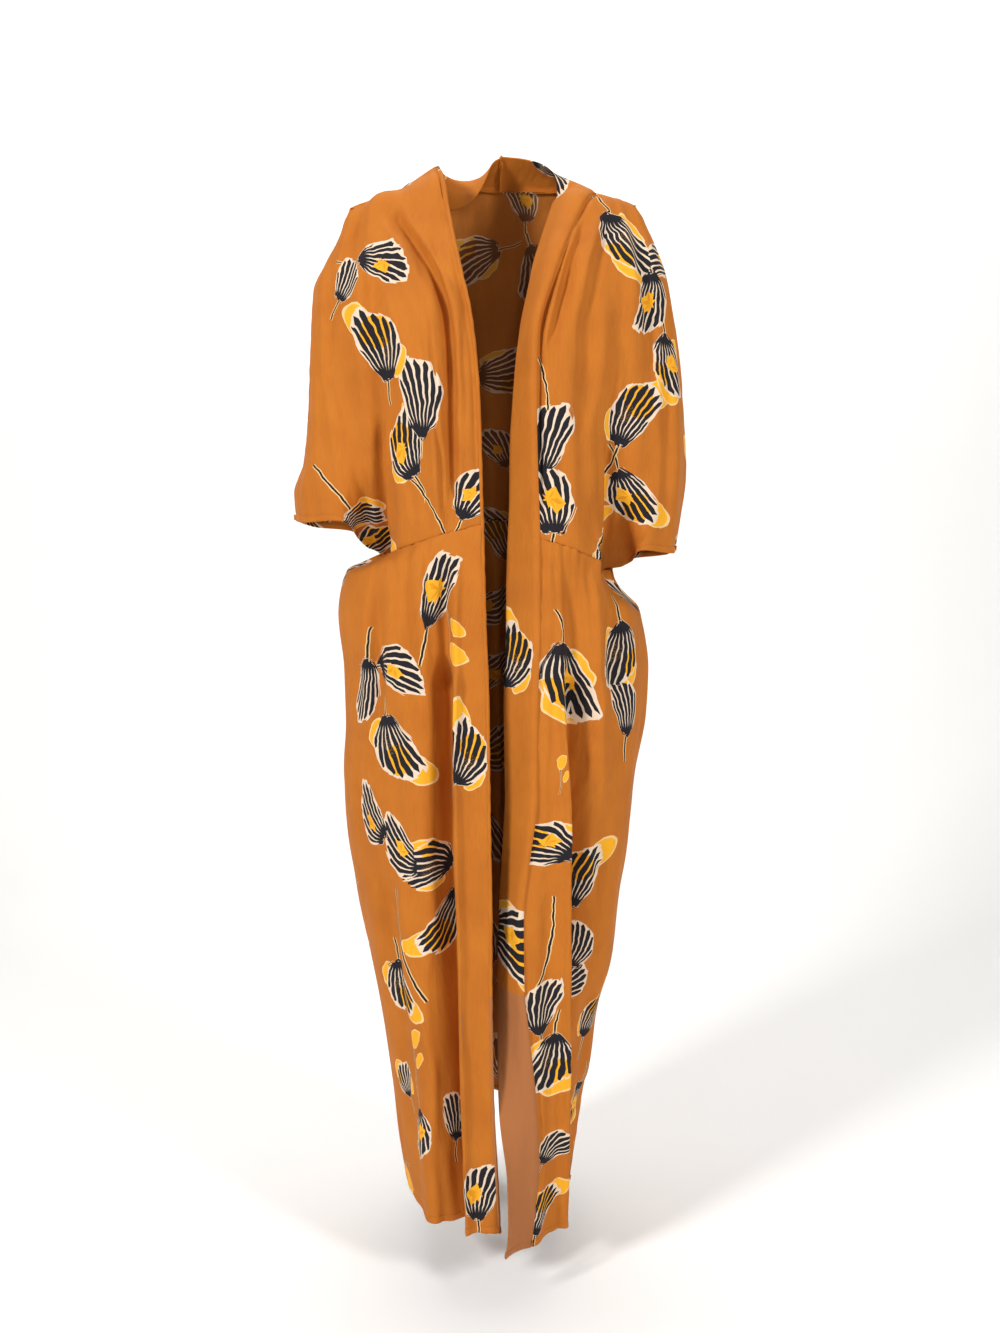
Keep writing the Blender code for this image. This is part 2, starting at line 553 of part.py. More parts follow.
def cloth_piece(name, grid, normals, collection):
    # A wall on both sides of the grid, closed along its rim; a loft between sections that are all unlike
    rows, columns = grid.shape[:2]
    count = rows * columns
    middle = grid.reshape(-1, 3)
    walls = np.vstack([(grid + normals * side * WALL / 2).reshape(-1, 3) for side in (1, -1)])
    faces = []
    for i in range(rows - 1):
        for j in range(columns - 1):
            a, b = i * columns + j, (i + 1) * columns + j
            for corners in two_triangles(middle, a, b, b + 1, a + 1):
                faces.append(corners)
                faces.append(tuple(count + corner for corner in reversed(corners)))
    rim = ([j for j in range(columns)] + [i * columns + columns - 1 for i in range(1, rows)]
           + [(rows - 1) * columns + j for j in range(columns - 2, -1, -1)]
           + [i * columns for i in range(rows - 2, 0, -1)])
    for a, b in zip(rim, rim[1:] + rim[:1]):
        faces.extend(two_triangles(walls, a, b, count + b, count + a))
    if FACING[name] > 0:
        faces = [face[::-1] for face in faces]
    mesh = bpy.data.meshes.new(name)
    mesh.from_pydata([tuple(point) for point in walls], [], faces)
    mesh.materials.append(cloth_material(name + "_rayon"))
    mesh.shade_smooth()
    piece = bpy.data.objects.new(name, mesh)
    collection.objects.link(piece)
    return piece


def coat_grids():
    front = {side: front_grid(side) for side in ("right", "left")}
    back = back_grid(front["right"], front["left"])
    waist = {side: front[side][-1][:FRONT_COLUMNS + 1] for side in front}
    grids = {"back": back, "skirt_back": skirt_back_grid(back[-1][ARM_COLUMNS + 1:-ARM_COLUMNS - 1])}
    for side in ("right", "left"):
        grids["front_" + side] = front[side]
        grids["skirt_front_" + side] = skirt_front_grid(side, waist[side])
    facing = shared_normals(grids)
    centre = back.shape[1] // 2
    for side, step in (("right", -1), ("left", 1)):
        neck = range(centre, centre + step * NECK_COLUMNS, step)
        strips = [(back[:, j], facing["back"][:, j]) for j in neck]
        for name, first in (("front_" + side, 0), ("skirt_front_" + side, 1)):
            strips += [(grids[name][i], facing[name][i]) for i in range(first, len(grids[name]))]
        grids["band_" + side] = band_grid(side, strips, NECK_COLUMNS)
    return grids


def main():
    for thing in list(bpy.data.objects):
        bpy.data.objects.remove(thing, do_unlink=True)
    coat = bpy.data.collections.new("kimono_coat")
    bpy.context.scene.collection.children.link(coat)
    grids = coat_grids()
    normals = shared_normals(grids)
    for name, grid in grids.items():
        cloth_piece(name, trim(grid, SEAMS[name]), normals[name], coat)


main()
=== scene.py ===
import math
from functools import partial

import bpy
import numpy as np
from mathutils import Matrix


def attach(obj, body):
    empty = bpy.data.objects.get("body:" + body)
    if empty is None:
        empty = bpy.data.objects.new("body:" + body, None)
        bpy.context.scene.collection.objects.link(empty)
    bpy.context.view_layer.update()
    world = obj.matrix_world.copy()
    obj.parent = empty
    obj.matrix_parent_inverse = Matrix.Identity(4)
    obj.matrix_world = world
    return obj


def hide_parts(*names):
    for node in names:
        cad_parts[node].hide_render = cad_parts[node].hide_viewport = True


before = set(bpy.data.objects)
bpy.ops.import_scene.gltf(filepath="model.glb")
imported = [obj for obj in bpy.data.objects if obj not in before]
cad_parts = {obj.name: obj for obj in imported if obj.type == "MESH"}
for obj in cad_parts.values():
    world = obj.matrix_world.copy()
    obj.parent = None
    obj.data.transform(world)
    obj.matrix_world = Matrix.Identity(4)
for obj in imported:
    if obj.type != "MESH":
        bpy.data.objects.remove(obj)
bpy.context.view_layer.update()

mm = 0.001
tiny = 1e-12

# Cut of the coat: the same sections as the solids, divided more finely
cut = {"bandWidth": 0.050, "bendLength": 0.008, "underarmSeam": 0.012, "neckCentreX": 0.009,
       "sectionPower": 2.35, "flare": {"right": 0.025, "left": 0.065}, "turnedBack": 115, "turning": 60,
       "neckRoll": 18, "neckBend": 30}
finer = 4
grain = {"front": 22 * finer, "arm": 10 * finer, "blade": 11 * finer, "neck": 6 * finer, "underarm": finer,
         "bodiceRows": 30 * finer, "skirtRows": 50 * finer, "spline": 24, "ring": 180, "bend": 6}

# Control points of a section, as shares of the way to the next named column
place = {"bustX": 0.34, "bustZ": 0.30, "sideX": 0.74, "sideZ": 0.72, "armStartZ": 0.1, "armX": 0.32,
         "outerX": 0.78, "outerFront": (0.74, 0.6), "outerBack": (0.78, 0.35),
         "neckX": 0.42, "neckSpread": 0.25, "neckSlope": 0.25, "neckBelow": 0.35, "bladeX": 0.6,
         "bladeZ": 0.55, "napeX": 0.5, "napeY": 0.6, "napeZ": 0.5, "neckRow": 0.04, "neckFade": 0.06}


def readTable(words):  # the columns of a table, by the names in its first row
    names, *rows = [line.split() for line in words.strip().splitlines()]
    return dict(zip(names, np.array(rows).astype(float).T))


def readPanels(names, words):  # rows that stand under the name of their panel, each with its values by name
    made, panel = [], None
    for line in words.strip().splitlines():
        values = line.split()
        if len(values) == 1:
            panel = values[0]
        else:
            made.append({"panel": panel, **dict(zip(names.split(), map(float, values)))})
    return made


# Bodice in millimetres, from the shoulder seam (0) to the waist and cuff (1)
frontSections = {"right": readTable("""
    t edgeX edgeY edgeZ sag bustY sideY pitX pitY pitZ armY armZ overX overY overZ
    0 -72 0 5 7 0 0 -142 0 -26 0 -36 -183 0 -47
    0.04 -66 -25 -10 6 -23 -20 -143 -16 -34 -13 -46 -190 -1 -62
    0.09 -57 -52 -58 4 -48 -42 -146 -33 -68 -26 -80 -203 -2 -94
    0.22 -43 -90 -122 2 -86 -78 -150 -66 -134 -50 -142 -232 -4 -150
    0.41 -26 -113 -198 0 -117 -102 -149 -84 -208 -64 -214 -238 -5 -222
    0.61 -19 -125 -276 0 -128 -110 -145 -84 -288 -70 -292 -242 -5 -297
    0.8 -16 -130 -360 0 -131 -112 -143 -74 -372 -74 -366 -250 -4 -368
    0.92 -15 -130 -412 0 -130 -108 -144 -44 -434 -76 -412 -264 -3 -412
    1 -14 -130 -443 -2 -128 -98 -150 -1 -489 -76 -442 -262 -2 -447
"""), "left": readTable("""
    t edgeX edgeY edgeZ sag bustY sideY pitX pitY pitZ armY armZ overX overY overZ
    0 130 0 -27 0 0 0 156 0 -34 0 -37 183 0 -44
    0.04 119 -23 -36 0 -21 -19 157 -16 -42 -13 -46 192 -1 -58
    0.09 106 -44 -62 0 -42 -38 158 -32 -70 -26 -76 205 -2 -84
    0.22 80 -86 -124 0 -84 -76 162 -64 -134 -50 -138 226 -4 -142
    0.41 55 -117 -216 0 -116 -102 160 -82 -222 -64 -222 241 -5 -222
    0.61 54 -128 -300 0 -128 -110 150 -86 -306 -72 -302 250 -5 -300
    0.8 56 -131 -385 0 -131 -112 148 -80 -392 -78 -386 255 -4 -384
    0.92 58 -131 -436 0 -130 -108 152 -48 -456 -80 -440 249 -3 -438
    1 59 -130 -462 -6 -127 -98 160 -1 -510 -80 -479 242 -2 -488
""")}
backSections = readTable("""
    t centreY centreZ neckY neckZ bladeY pitY armY armDrop
    0 74 -14 0 0 0 0 0 0
    0.04 82 -31 26 -6 20 13 11 0
    0.09 91 -54 54 -30 42 26 22 0
    0.22 106 -120 97 -108 86 62 42 0
    0.41 113 -200 112 -192 104 78 52 0
    0.61 115 -280 114 -276 108 80 56 2
    0.8 114 -362 112 -360 106 66 58 6
    0.92 113 -414 110 -416 98 36 56 12
    1 112 -452 109 -456 90 1 52 22
""")
solidRows = (0, .04, .09, .15, .22, .31, .41, .51, .61, .71, .80, .88, .95, 1)

# Skirt in millimetres by height: half widths, depths, where the fronts end
skirtLevels = readTable("""
    z right left front back rightEdge leftEdge
    -440 172 160 131 113 -14 59
    -490 186 166 134 117 -13 59
    -530 200 184 142 128 -12 59
    -570 206 197 149 138 -11 59
    -640 199 208 155 147 -8 57
    -700 198 206 159 151 -7 56
    -785 203 192 162 153 -6 56
    -865 198 185 165 155 -5 47
    -945 187 172 167 158 -4 39
    -1030 171 158 168 161 -4 40
    -1110 156 141 169 164 -3 48
    -1200 142 134 170 168 -1 57
    -1285 133 123 171 172 3 61
    -1345 124 115 172 175 6 57
    -1410 116 107 172 177 9 50
""")
hemShares = (0, 0.5, 0.8, 1)
hem = {"right": (-1374, -1372, -1358, -1332), "left": (-1402, -1390, -1394, -1396), "back": -1336}

# Folds and creases in millimetres: a line of four points x, z, then half width, depth, the length over
# which the lower end dies out (0 runs on), how much steeper one side is than the other, and how far the
# cloth on one side laps over the fold (plus: the side towards +X)
foldNames = "x1 z1 x2 z2 x3 z3 x4 z4 width depth fade steep lap"
mainFolds = readPanels(foldNames, """
    front_right
    -135 -40 -79 -128 -54 -188 -46 -444 8 13 60 -0.3 3
    -168 -60 -156 -130 -138 -230 -128 -340 14 4 60 0 0
    -140 -300 -140 -360 -139 -420 -136 -480 6 7 0 -0.3 3
    -98 -300 -94 -350 -92 -400 -92 -452 12 3 60 0 0
    front_left
    123 -46 102 -108 83 -170 66 -250 8 9 60 0.3 -3
    150 -52 136 -120 118 -230 106 -350 13 5 60 0 0
    86 -330 86 -380 86 -420 86 -466 8 3 60 0 0
    146 -330 145 -380 143 -430 140 -480 6 7 0 0.3 -3
    back
    -128 -60 -112 -160 -98 -300 -92 -450 18 7 0 0 0
    -46 -70 -44 -180 -40 -320 -38 -452 16 5 0 0 0
    24 -60 26 -180 24 -320 22 -455 15 4 0 0 0
    84 -56 86 -160 88 -300 92 -460 19 7 0 0 0
    140 -70 138 -160 134 -300 128 -470 13 5 0 0 0
    skirt_front_right
    -63 -446 -62 -540 -61 -620 -60 -660 13 20 60 -0.4 0
    -61 -600 -59 -700 -55 -924 -44 -1380 15 38 0 -0.55 5
    -104 -480 -100 -665 -97 -930 -90 -1250 12 8 60 0 0
    -146 -490 -147 -560 -148 -606 -150 -720 9 8 60 0 0
    -140 -880 -128 -1000 -112 -1150 -96 -1370 13 9 0 0 0
    skirt_front_left
    95 -470 98 -540 100 -600 102 -680 13 12 60 0.4 0
    101 -620 103 -720 106 -865 102 -1400 15 32 0 0.55 -6
    150 -500 154 -672 149 -810 142 -940 12 10 60 0 0
    72 -900 72 -1020 74 -1180 74 -1400 9 4 0 0 0
    skirt_back
    -118 -480 -126 -700 -112 -1000 -76 -1350 19 20 0 0 8
    -58 -462 -62 -700 -52 -1000 -34 -1340 15 12 0 0 0
    4 -458 6 -700 8 -1000 6 -1340 17 17 0 0 9
    62 -466 70 -700 58 -1000 42 -1350 15 11 0 0 0
    122 -490 132 -700 112 -1000 76 -1370 18 21 0 0 -8
""")
foldRise = {"share": 0.32, "place": 1.75, "width": 0.8, "runIn": 45, "lapIn": 160,
            "lapPlace": 1.15, "lapWidth": 0.75}
# Soft drags from the sleeves and the shoulders, gathers below the waist seam and long soft pleats, uneven
fineCreases = readPanels(foldNames, """
    front_right
    -176 -70 -190 -150 -196 -230 -200 -300 8 2.2 70 0.3 0
    -206 -110 -204 -190 -214 -280 -222 -380 7 1.8 60 -0.2 0
    -152 -90 -118 -170 -88 -235 -70 -300 9 2.4 60 0.3 0
    -120 -330 -112 -375 -100 -415 -96 -450 5 1.4 30 0.2 0
    -84 -180 -75 -240 -66 -330 -61 -450 3.4 3.6 0 -0.3 0
    -30 -120 -34 -200 -36 -300 -34 -430 4 1.1 40 0 0
    -96 -66 -74 -130 -52 -200 -42 -320 5 2.6 70 -0.2 0
    -214 -200 -206 -270 -196 -330 -190 -400 6 2.2 60 0.2 0
    -176 -350 -172 -390 -166 -430 -160 -470 5 2.4 0 0.2 0
    front_left
    176 -70 190 -150 202 -230 210 -300 8 2.2 70 0.3 0
    206 -110 214 -190 224 -280 230 -380 7 1.8 60 0.2 0
    128 -180 122 -240 116 -300 112 -360 7 1.6 60 0 0
    134 -380 130 -410 126 -440 122 -470 5 1.4 0 0.2 0
    72 -400 72 -420 71 -440 70 -463 4 1 0 0 0
    146 -60 126 -130 112 -210 104 -300 6 3 70 0.2 0
    172 -210 168 -290 160 -370 152 -460 8 3 0 0.3 0
    216 -240 222 -300 222 -370 220 -440 7 2.6 0 0.2 0
    back
    -70 -120 -72 -220 -70 -330 -66 -440 8 2 50 0.2 0
    -150 -160 -146 -240 -142 -320 -136 -420 8 2.4 60 -0.2 0
    56 -130 54 -230 56 -330 60 -430 8 2 60 0.2 0
    -196 -120 -200 -200 -206 -280 -212 -360 7 1.8 60 0 0
    200 -120 206 -200 214 -280 222 -380 7 1.8 60 0 0
    skirt_front_right
    -84 -452 -82 -490 -80 -540 -78 -640 5 2 70 0.2 0
    -34 -446 -35 -480 -36 -520 -36 -600 4 1.6 60 0 0
    -122 -470 -122 -510 -120 -560 -118 -650 5 2.2 70 -0.2 0
    -24 -700 -26 -800 -28 -900 -28 -1040 5 1.5 90 0 0
    -122 -650 -124 -730 -120 -820 -112 -920 8 2.6 80 0.3 0
    -172 -620 -176 -700 -172 -790 -160 -880 8 2.4 80 0 0
    -78 -960 -76 -1060 -72 -1180 -66 -1370 6 2.2 0 0.2 0
    -22 -1050 -22 -1130 -20 -1230 -18 -1374 5 1.6 0 0 0
    skirt_front_left
    76 -466 77 -500 78 -540 80 -620 4 1.8 60 0.2 0
    122 -484 124 -520 126 -570 128 -650 5 2.2 70 0 0
    74 -640 76 -720 76 -800 74 -880 5 1.6 60 0 0
    130 -700 134 -780 136 -860 132 -960 7 2.4 80 0.2 0
    92 -1080 90 -1160 88 -1250 86 -1395 6 2.2 0 0.2 0
    126 -1060 124 -1140 120 -1240 112 -1390 7 2.8 0 -0.2 0
    skirt_back
    -90 -470 -92 -520 -94 -580 -94 -700 6 2.6 80 0 0
    -30 -460 -30 -510 -30 -580 -28 -690 6 2.4 80 0.2 0
    36 -462 38 -510 40 -580 40 -680 6 2.6 80 -0.2 0
    94 -476 98 -520 100 -590 102 -720 6 2.4 80 0 0
    -88 -860 -84 -980 -74 -1120 -58 -1330 8 3 0 0.2 0
    -24 -840 -22 -980 -18 -1120 -14 -1330 7 2.6 0 0 0
    36 -880 34 -1000 30 -1140 24 -1330 7 2.4 0 0.2 0
    96 -860 92 -980 80 -1120 60 -1340 8 3 0 0 0
    -160 -600 -166 -700 -160 -820 -148 -940 9 3.2 90 0 0
    166 -600 176 -700 170 -820 154 -940 9 3.2 90 0 0
""")
creaseWaver = ((1.6, 31, 2.1), (0.9, 13, 1))  # rise, length, shift from one crease to the next
fadeOver = {"frontEdge": 3, "armSeam": 5, "frontShoulder": 1.5, "backSide": 9, "backSideFrom": 0.9,
            "backShoulder": 3, "skirtEdge": 2.5, "skirtSide": 4, "skirtBack": 0.25, "waistShare": 0.12}

# Roll of each band towards the body: height, degrees, lift, bend length
roll = {"right": readTable("""
    z degrees lift bend
    5 150 0 8
    -20 168 0 8
    -60 180 0 8
    -150 180 0 8
    -1410 180 0 8
"""), "left": readTable("""
    z degrees lift bend
    -27 56 8 36
    -48 58 4 34
    -108 64 0 26
    -167 70 0 16
    -206 71 0 12
    -231 67 0 12
    -291 60 0 12
    -352 52 0 12
    -413 48 0 12
    -468 44 0 12
    -660 42 0 12
    -787 46 0 12
    -864 56 0 12
    -943 63 0 12
    -1030 60 0 12
    -1137 45 0 20
    -1190 30 0 30
    -1248 0 0 40
    -1316 -24 0 50
    -1376 -40 0 50
    -1410 -46 0 50
""")}
facing = {"front_right": 1, "front_left": -1, "back": 1, "skirt_front_right": 1, "skirt_front_left": -1,
          "skirt_back": 1, "band_right": -1, "band_left": 1}


def hermite(start, end, leave, arrive, width, u):
    return (start * (1 + 2 * u) * (1 - u) ** 2 + end * u * u * (3 - 2 * u)
            + width * (leave * u * (1 - u) ** 2 - arrive * u * u * (1 - u)))


def through(xs, ys, x):  # smooth curve through table values, never overshooting
    xs, ys, x = np.asarray(xs, float), np.asarray(ys, float), np.asarray(x, float)
    width = np.diff(xs)
    rise = np.diff(ys) / width
    slope = np.concatenate([rise[:1], np.zeros(len(rise) - 1), rise[-1:]])
    both = rise[:-1] * rise[1:]
    sameWay = both > 0
    slope[1:-1][sameWay] = (2 * both / (rise[:-1] + rise[1:] + (~sameWay)))[sameWay]
    i = np.clip(np.searchsorted(xs, x) - 1, 0, len(width) - 1)
    u = np.clip((x - xs[i]) / width[i], 0, 1)
    return hermite(ys[i], ys[i + 1], slope[i], slope[i + 1], width[i], u)


def sectionAt(table, t):
    return {name: float(through(table["t"], values, t)) * mm
            for name, values in table.items() if name != "t"}


def smoothStep(x):
    x = np.clip(x, 0, 1)
    return x * x * (3 - 2 * x)


def mix(a, b, share):
    return a + (b - a) * share


def unit(vectors):
    return vectors / (np.linalg.norm(vectors, axis=-1, keepdims=True) + tiny)


def spline(points):
    points = np.asarray(points, float)
    step = np.linalg.norm(np.diff(points, axis=0), axis=1) + 1e-9
    rise = np.diff(points, axis=0) / step[:, None]
    slope = np.vstack([rise[:1], np.zeros((len(points) - 2, 3)), rise[-1:]])
    before, after = step[:-1, None], step[1:, None]
    slope[1:-1] = (rise[:-1] * after + rise[1:] * before) / (before + after)
    u = np.arange(grain["spline"])[:, None] / grain["spline"]
    spans = [hermite(points[i], points[i + 1], slope[i], slope[i + 1], step[i], u)
             for i in range(len(step))]
    return np.vstack(spans + [points[-1:]])


def evenPoints(curve, count):
    reach = np.concatenate([[0], np.cumsum(np.linalg.norm(np.diff(curve, axis=0), axis=1))])
    wanted = np.linspace(0, reach[-1], count + 1)
    return np.stack([np.interp(wanted, reach, curve[:, k]) for k in range(3)], 1)


def outward(grid, name):  # the direction out of the coat at each point of a panel
    return unit(np.cross(np.gradient(grid, axis=1), np.gradient(grid, axis=0))) * facing[name]


def foldDepth(grid, panel, folds):  # how deep the folds are at each point, and how far it is lapped over
    depth, lapped = np.zeros(grid.shape[:2]), np.zeros(grid.shape[:2])
    for number, row in enumerate(folds):
        if row["panel"] != panel:
            continue
        z = grid[..., 2] / mm
        line = through([row["z4"], row["z3"], row["z2"], row["z1"]],
                       [row["x4"], row["x3"], row["x2"], row["x1"]], z)
        if folds is fineCreases:  # a crease wavers a little
            for high, length, shift in creaseWaver:
                line = line + high * np.sin(z / length + number * shift)
        slant = np.abs(row["x3"] - row["x1"]) / (row["z1"] - row["z3"])
        off = (grid[..., 0] / mm - line) / np.hypot(1, slant)
        width = row["width"] * (1 + row["steep"] * np.tanh(off / row["width"]))
        away = np.abs(off) / width
        rise = foldRise["share"] * np.exp(-((away - foldRise["place"]) / foldRise["width"]) ** 2)
        runsIn = smoothStep((row["z1"] - z) / foldRise["runIn"])
        runsOut = smoothStep((z - row["z4"]) / row["fade"]) if row["fade"] else 1
        depth += row["depth"] * mm * (np.exp(-away ** 2) - rise) * runsIn * runsOut
        if row["lap"]:
            past = off * np.sign(row["lap"]) / row["width"] - foldRise["lapPlace"]
            crest = np.exp(-(past / foldRise["lapWidth"]) ** 2)
            lapped -= row["lap"] * mm * crest * smoothStep((row["z1"] - z) / foldRise["lapIn"]) * runsOut
    return depth, lapped


def foldIn(grid, panel, awayFromSeams):
    normal = outward(grid, panel)
    depth, lapped = foldDepth(grid, panel, mainFolds)
    grid = grid - normal * (depth * awayFromSeams)[..., None]
    grid[..., 0] += lapped * awayFromSeams
    return grid


# Bodice: front and back rows share the seam over the shoulder and along the arm
bodiceTs = np.linspace(0, 1, grain["bodiceRows"] + 1)


def underarmX(v, t, side):
    seam = cut["underarmSeam"] * smoothStep(3 * t + 0.3)
    return v["pitX"] + (-seam if side == "right" else seam)


def armPoints(f, armStart, pitY, armY, armZ, outer):  # along the sleeve, from the pit to the overarm seam
    outerY, outerZ = place[outer]
    return [(armStart, pitY, mix(f["pitZ"], f["armZ"], place["armStartZ"])),
            (mix(armStart, f["overX"], place["armX"]), armY, armZ),
            (mix(armStart, f["overX"], place["outerX"]), armY * outerY, mix(armZ, f["overZ"], outerZ)),
            (f["overX"], f["overY"], f["overZ"])]


def frontRow(side, t):
    v = sectionAt(frontSections[side], t)
    armStart = underarmX(v, t, side)
    curve = spline([
        (v["edgeX"], v["edgeY"], v["edgeZ"]),
        (mix(v["edgeX"], v["pitX"], place["bustX"]), v["bustY"],
         mix(v["edgeZ"], v["pitZ"], place["bustZ"]) - v["sag"]),
        (mix(v["edgeX"], v["pitX"], place["sideX"]), v["sideY"],
         mix(v["edgeZ"], v["pitZ"], place["sideZ"]) - v["sag"]),
        (v["pitX"], v["pitY"], v["pitZ"]),
        *armPoints(v, armStart, v["pitY"], v["armY"], v["armZ"], "outerFront")])
    bodyEnd, armBegin = 3 * grain["spline"], 4 * grain["spline"]
    return np.vstack([evenPoints(curve[:bodyEnd + 1], grain["front"]),
                      evenPoints(curve[bodyEnd:armBegin + 1], grain["underarm"])[1:],
                      evenPoints(curve[armBegin:], grain["arm"])[1:]])


def solidPlaces(t):  # how many rows of the solid lie above each section
    return np.interp(t, solidRows, np.arange(len(solidRows)))


def frontGrid(side):
    grid = np.stack([frontRow(side, t) for t in bodiceTs])
    spot = np.arange(grid.shape[1]) / finer
    fromEdge = smoothStep(spot / fadeOver["frontEdge"])
    fromArm = smoothStep((spot[-1] - spot) / fadeOver["armSeam"])
    fromShoulder = smoothStep(solidPlaces(bodiceTs) / fadeOver["frontShoulder"])[:, None]
    return foldIn(grid, "front_" + side, fromEdge * fromArm * fromShoulder)


def backHalfRow(side, t):
    f = sectionAt(frontSections[side], t)
    b = sectionAt(backSections, t)
    top = sectionAt(frontSections[side], 0)
    armStart = underarmX(f, t, side)
    below = smoothStep(t / place["neckBelow"])
    spread = place["neckSpread"] * (top["pitX"] - top["edgeX"]) * min(1, t / place["neckRow"]) * (1 - below)
    neckX = mix(top["edgeX"], place["neckX"] * f["pitX"], below) + spread
    neckZ = b["neckZ"] + top["edgeZ"] * (1 - smoothStep(t / place["neckSlope"]))
    centre = (cut["neckCentreX"] * (1 - below), b["centreY"], b["centreZ"])
    halfTurn = math.sqrt(0.5)
    nape = (mix(centre[0], neckX, mix(halfTurn, place["napeX"], below)),
            mix(b["neckY"], b["centreY"], mix(halfTurn, place["napeY"], below)),
            mix(b["centreZ"], neckZ, mix(1 - halfTurn, place["napeZ"], below)))
    curve = spline([
        centre, nape, (neckX, b["neckY"], neckZ),
        (mix(neckX, f["pitX"], place["bladeX"]), b["bladeY"], mix(neckZ, f["pitZ"], place["bladeZ"])),
        (f["pitX"], b["pitY"], f["pitZ"]),
        *armPoints(f, armStart, b["pitY"], b["armY"], f["armZ"] - b["armDrop"], "outerBack")])
    neckEnd, bodyEnd, armBegin = (spans * grain["spline"] for spans in (2, 4, 5))
    return np.vstack([evenPoints(curve[:neckEnd + 1], grain["neck"]),
                      evenPoints(curve[neckEnd:bodyEnd + 1], grain["blade"])[1:],
                      evenPoints(curve[bodyEnd:armBegin + 1], grain["underarm"])[1:],
                      evenPoints(curve[armBegin:], grain["arm"])[1:]])


def neckRow(side, frontTop):  # the uppermost row: the back neck, then the front's own shoulder seam
    b = sectionAt(backSections, 0)
    turn = np.linspace(0, math.pi / 2, grain["neck"] + 1)
    x = mix(cut["neckCentreX"], frontTop[0][0], np.sin(turn))
    y = b["centreY"] * np.cos(turn)
    z = mix(b["centreZ"], frontTop[0][2], 1 - np.cos(turn))
    count = grain["front"]
    return np.vstack([np.stack([x, y, z], 1), frontTop[2:count + 1:2], frontTop[count + 1:]])


def backGrid(fronts):
    rows = []
    first = {side: neckRow(side, fronts[side][0]) for side in fronts}
    drift = {side: first[side] - backHalfRow(side, tiny) for side in fronts}
    for t in bodiceTs:
        half = {}
        for side in fronts:
            settle = 1 - smoothStep(t / place["neckFade"])
            half[side] = backHalfRow(side, max(t, tiny)) + drift[side] * settle
        rows.append(np.vstack([half["right"][::-1], half["left"][1:]]))
    grid = np.stack(rows)
    grid[:, 0], grid[:, -1] = fronts["right"][:, -1], fronts["left"][:, -1]
    spot = np.arange(grid.shape[1]) / finer
    fromSides = smoothStep(np.minimum(spot, spot[-1] - spot) / fadeOver["backSide"]
                           - fadeOver["backSideFrom"])
    fromShoulder = smoothStep(solidPlaces(bodiceTs) / fadeOver["backShoulder"])[:, None]
    return foldIn(grid, "back", fromSides * fromShoulder)


# Skirt: rounded rectangles by level, from the waist seam down
skirtVs = np.linspace(0, 1, grain["skirtRows"] + 1)


def skirtLevel(z):
    z = np.asarray(z, float) / mm
    return {name: through(skirtLevels["z"][::-1], values[::-1], z) * mm
            for name, values in skirtLevels.items() if name != "z"}


def ringPoints(halfWidth, depth, angles):
    power = 2 / cut["sectionPower"]
    return halfWidth * np.sin(angles) ** power, depth * np.abs(np.cos(angles)) ** power


def skirtFrontGrid(side, waist):
    sign = -1 if side == "right" else 1
    share = np.linspace(0, 1, len(waist))
    hemLine = through(hemShares, np.array(hem[side]) * mm, share)
    rows = []
    for v in skirtVs:
        z = mix(waist[:, 2], hemLine, v)
        middle = skirtLevel(z.mean())
        x, y = ringPoints(middle[side], middle["front"], np.linspace(0, math.pi / 2, grain["ring"]))
        edge = sign * middle[side + "Edge"]
        keep = x > edge
        x = np.concatenate([[edge], x[keep]])
        y = np.concatenate([[np.interp(edge, x[1:], y[keep])], y[keep]])
        even = evenPoints(np.stack([x, -y, np.zeros(len(x))], 1), len(waist) - 1)
        level = skirtLevel(z)
        grow = level[side] / middle[side]
        row = np.stack([sign * even[:, 0] * grow, even[:, 1] * level["front"] / middle["front"], z], 1)
        row[:, 0] += (level[side + "Edge"] - row[0, 0]) * (1 - share) ** 3
        row[:, 1] = np.minimum(row[:, 1], waist[-1][1])
        rows.append(mix(waist, row, smoothStep(v / cut["flare"][side])) * (1, 1, 0) + row * (0, 0, 1))
    spot = np.arange(len(waist)) / finer
    fromEdge = smoothStep(spot / fadeOver["skirtEdge"])
    fromSide = smoothStep((spot[-1] - spot) / fadeOver["skirtSide"])
    below = smoothStep(skirtVs / fadeOver["waistShare"])[:, None]
    return foldIn(np.stack(rows), "skirt_front_" + side, fromEdge * fromSide * below)


def skirtBackGrid(waist):
    share = np.linspace(-1, 1, len(waist))
    sideHem = mix(hem["right"][-1], hem["left"][-1], (share + 1) / 2) * mm
    flare = mix(cut["flare"]["right"], cut["flare"]["left"], (share[:, None] + 1) / 2)
    hemLine = mix(hem["back"] * mm, sideHem, share ** 2)
    rows = []
    for v in skirtVs:
        z = mix(waist[:, 2], hemLine, v)
        level, middle = skirtLevel(z), skirtLevel(z.mean())
        dense = np.linspace(-math.pi / 2, math.pi / 2, 2 * grain["ring"])
        half = np.where(dense < 0, middle["right"], middle["left"])
        x, y = ringPoints(half, middle["back"], np.abs(dense))
        even = evenPoints(np.stack([np.sign(dense) * x, y, 0 * dense], 1), len(waist) - 1)
        grow = np.where(share < 0, level["right"] / middle["right"], level["left"] / middle["left"])
        row = np.stack([even[:, 0] * grow, even[:, 1] * level["back"] / middle["back"], z], 1)
        row[:, 1] = np.maximum(row[:, 1], 0)
        rows.append(mix(waist, row, smoothStep(v / flare)) * (1, 1, 0) + row * (0, 0, 1))
    fromSides = smoothStep((1 - np.abs(share)) / fadeOver["skirtBack"])
    below = smoothStep(skirtVs / fadeOver["waistShare"])[:, None]
    return foldIn(np.stack(rows), "skirt_back", fromSides * below)


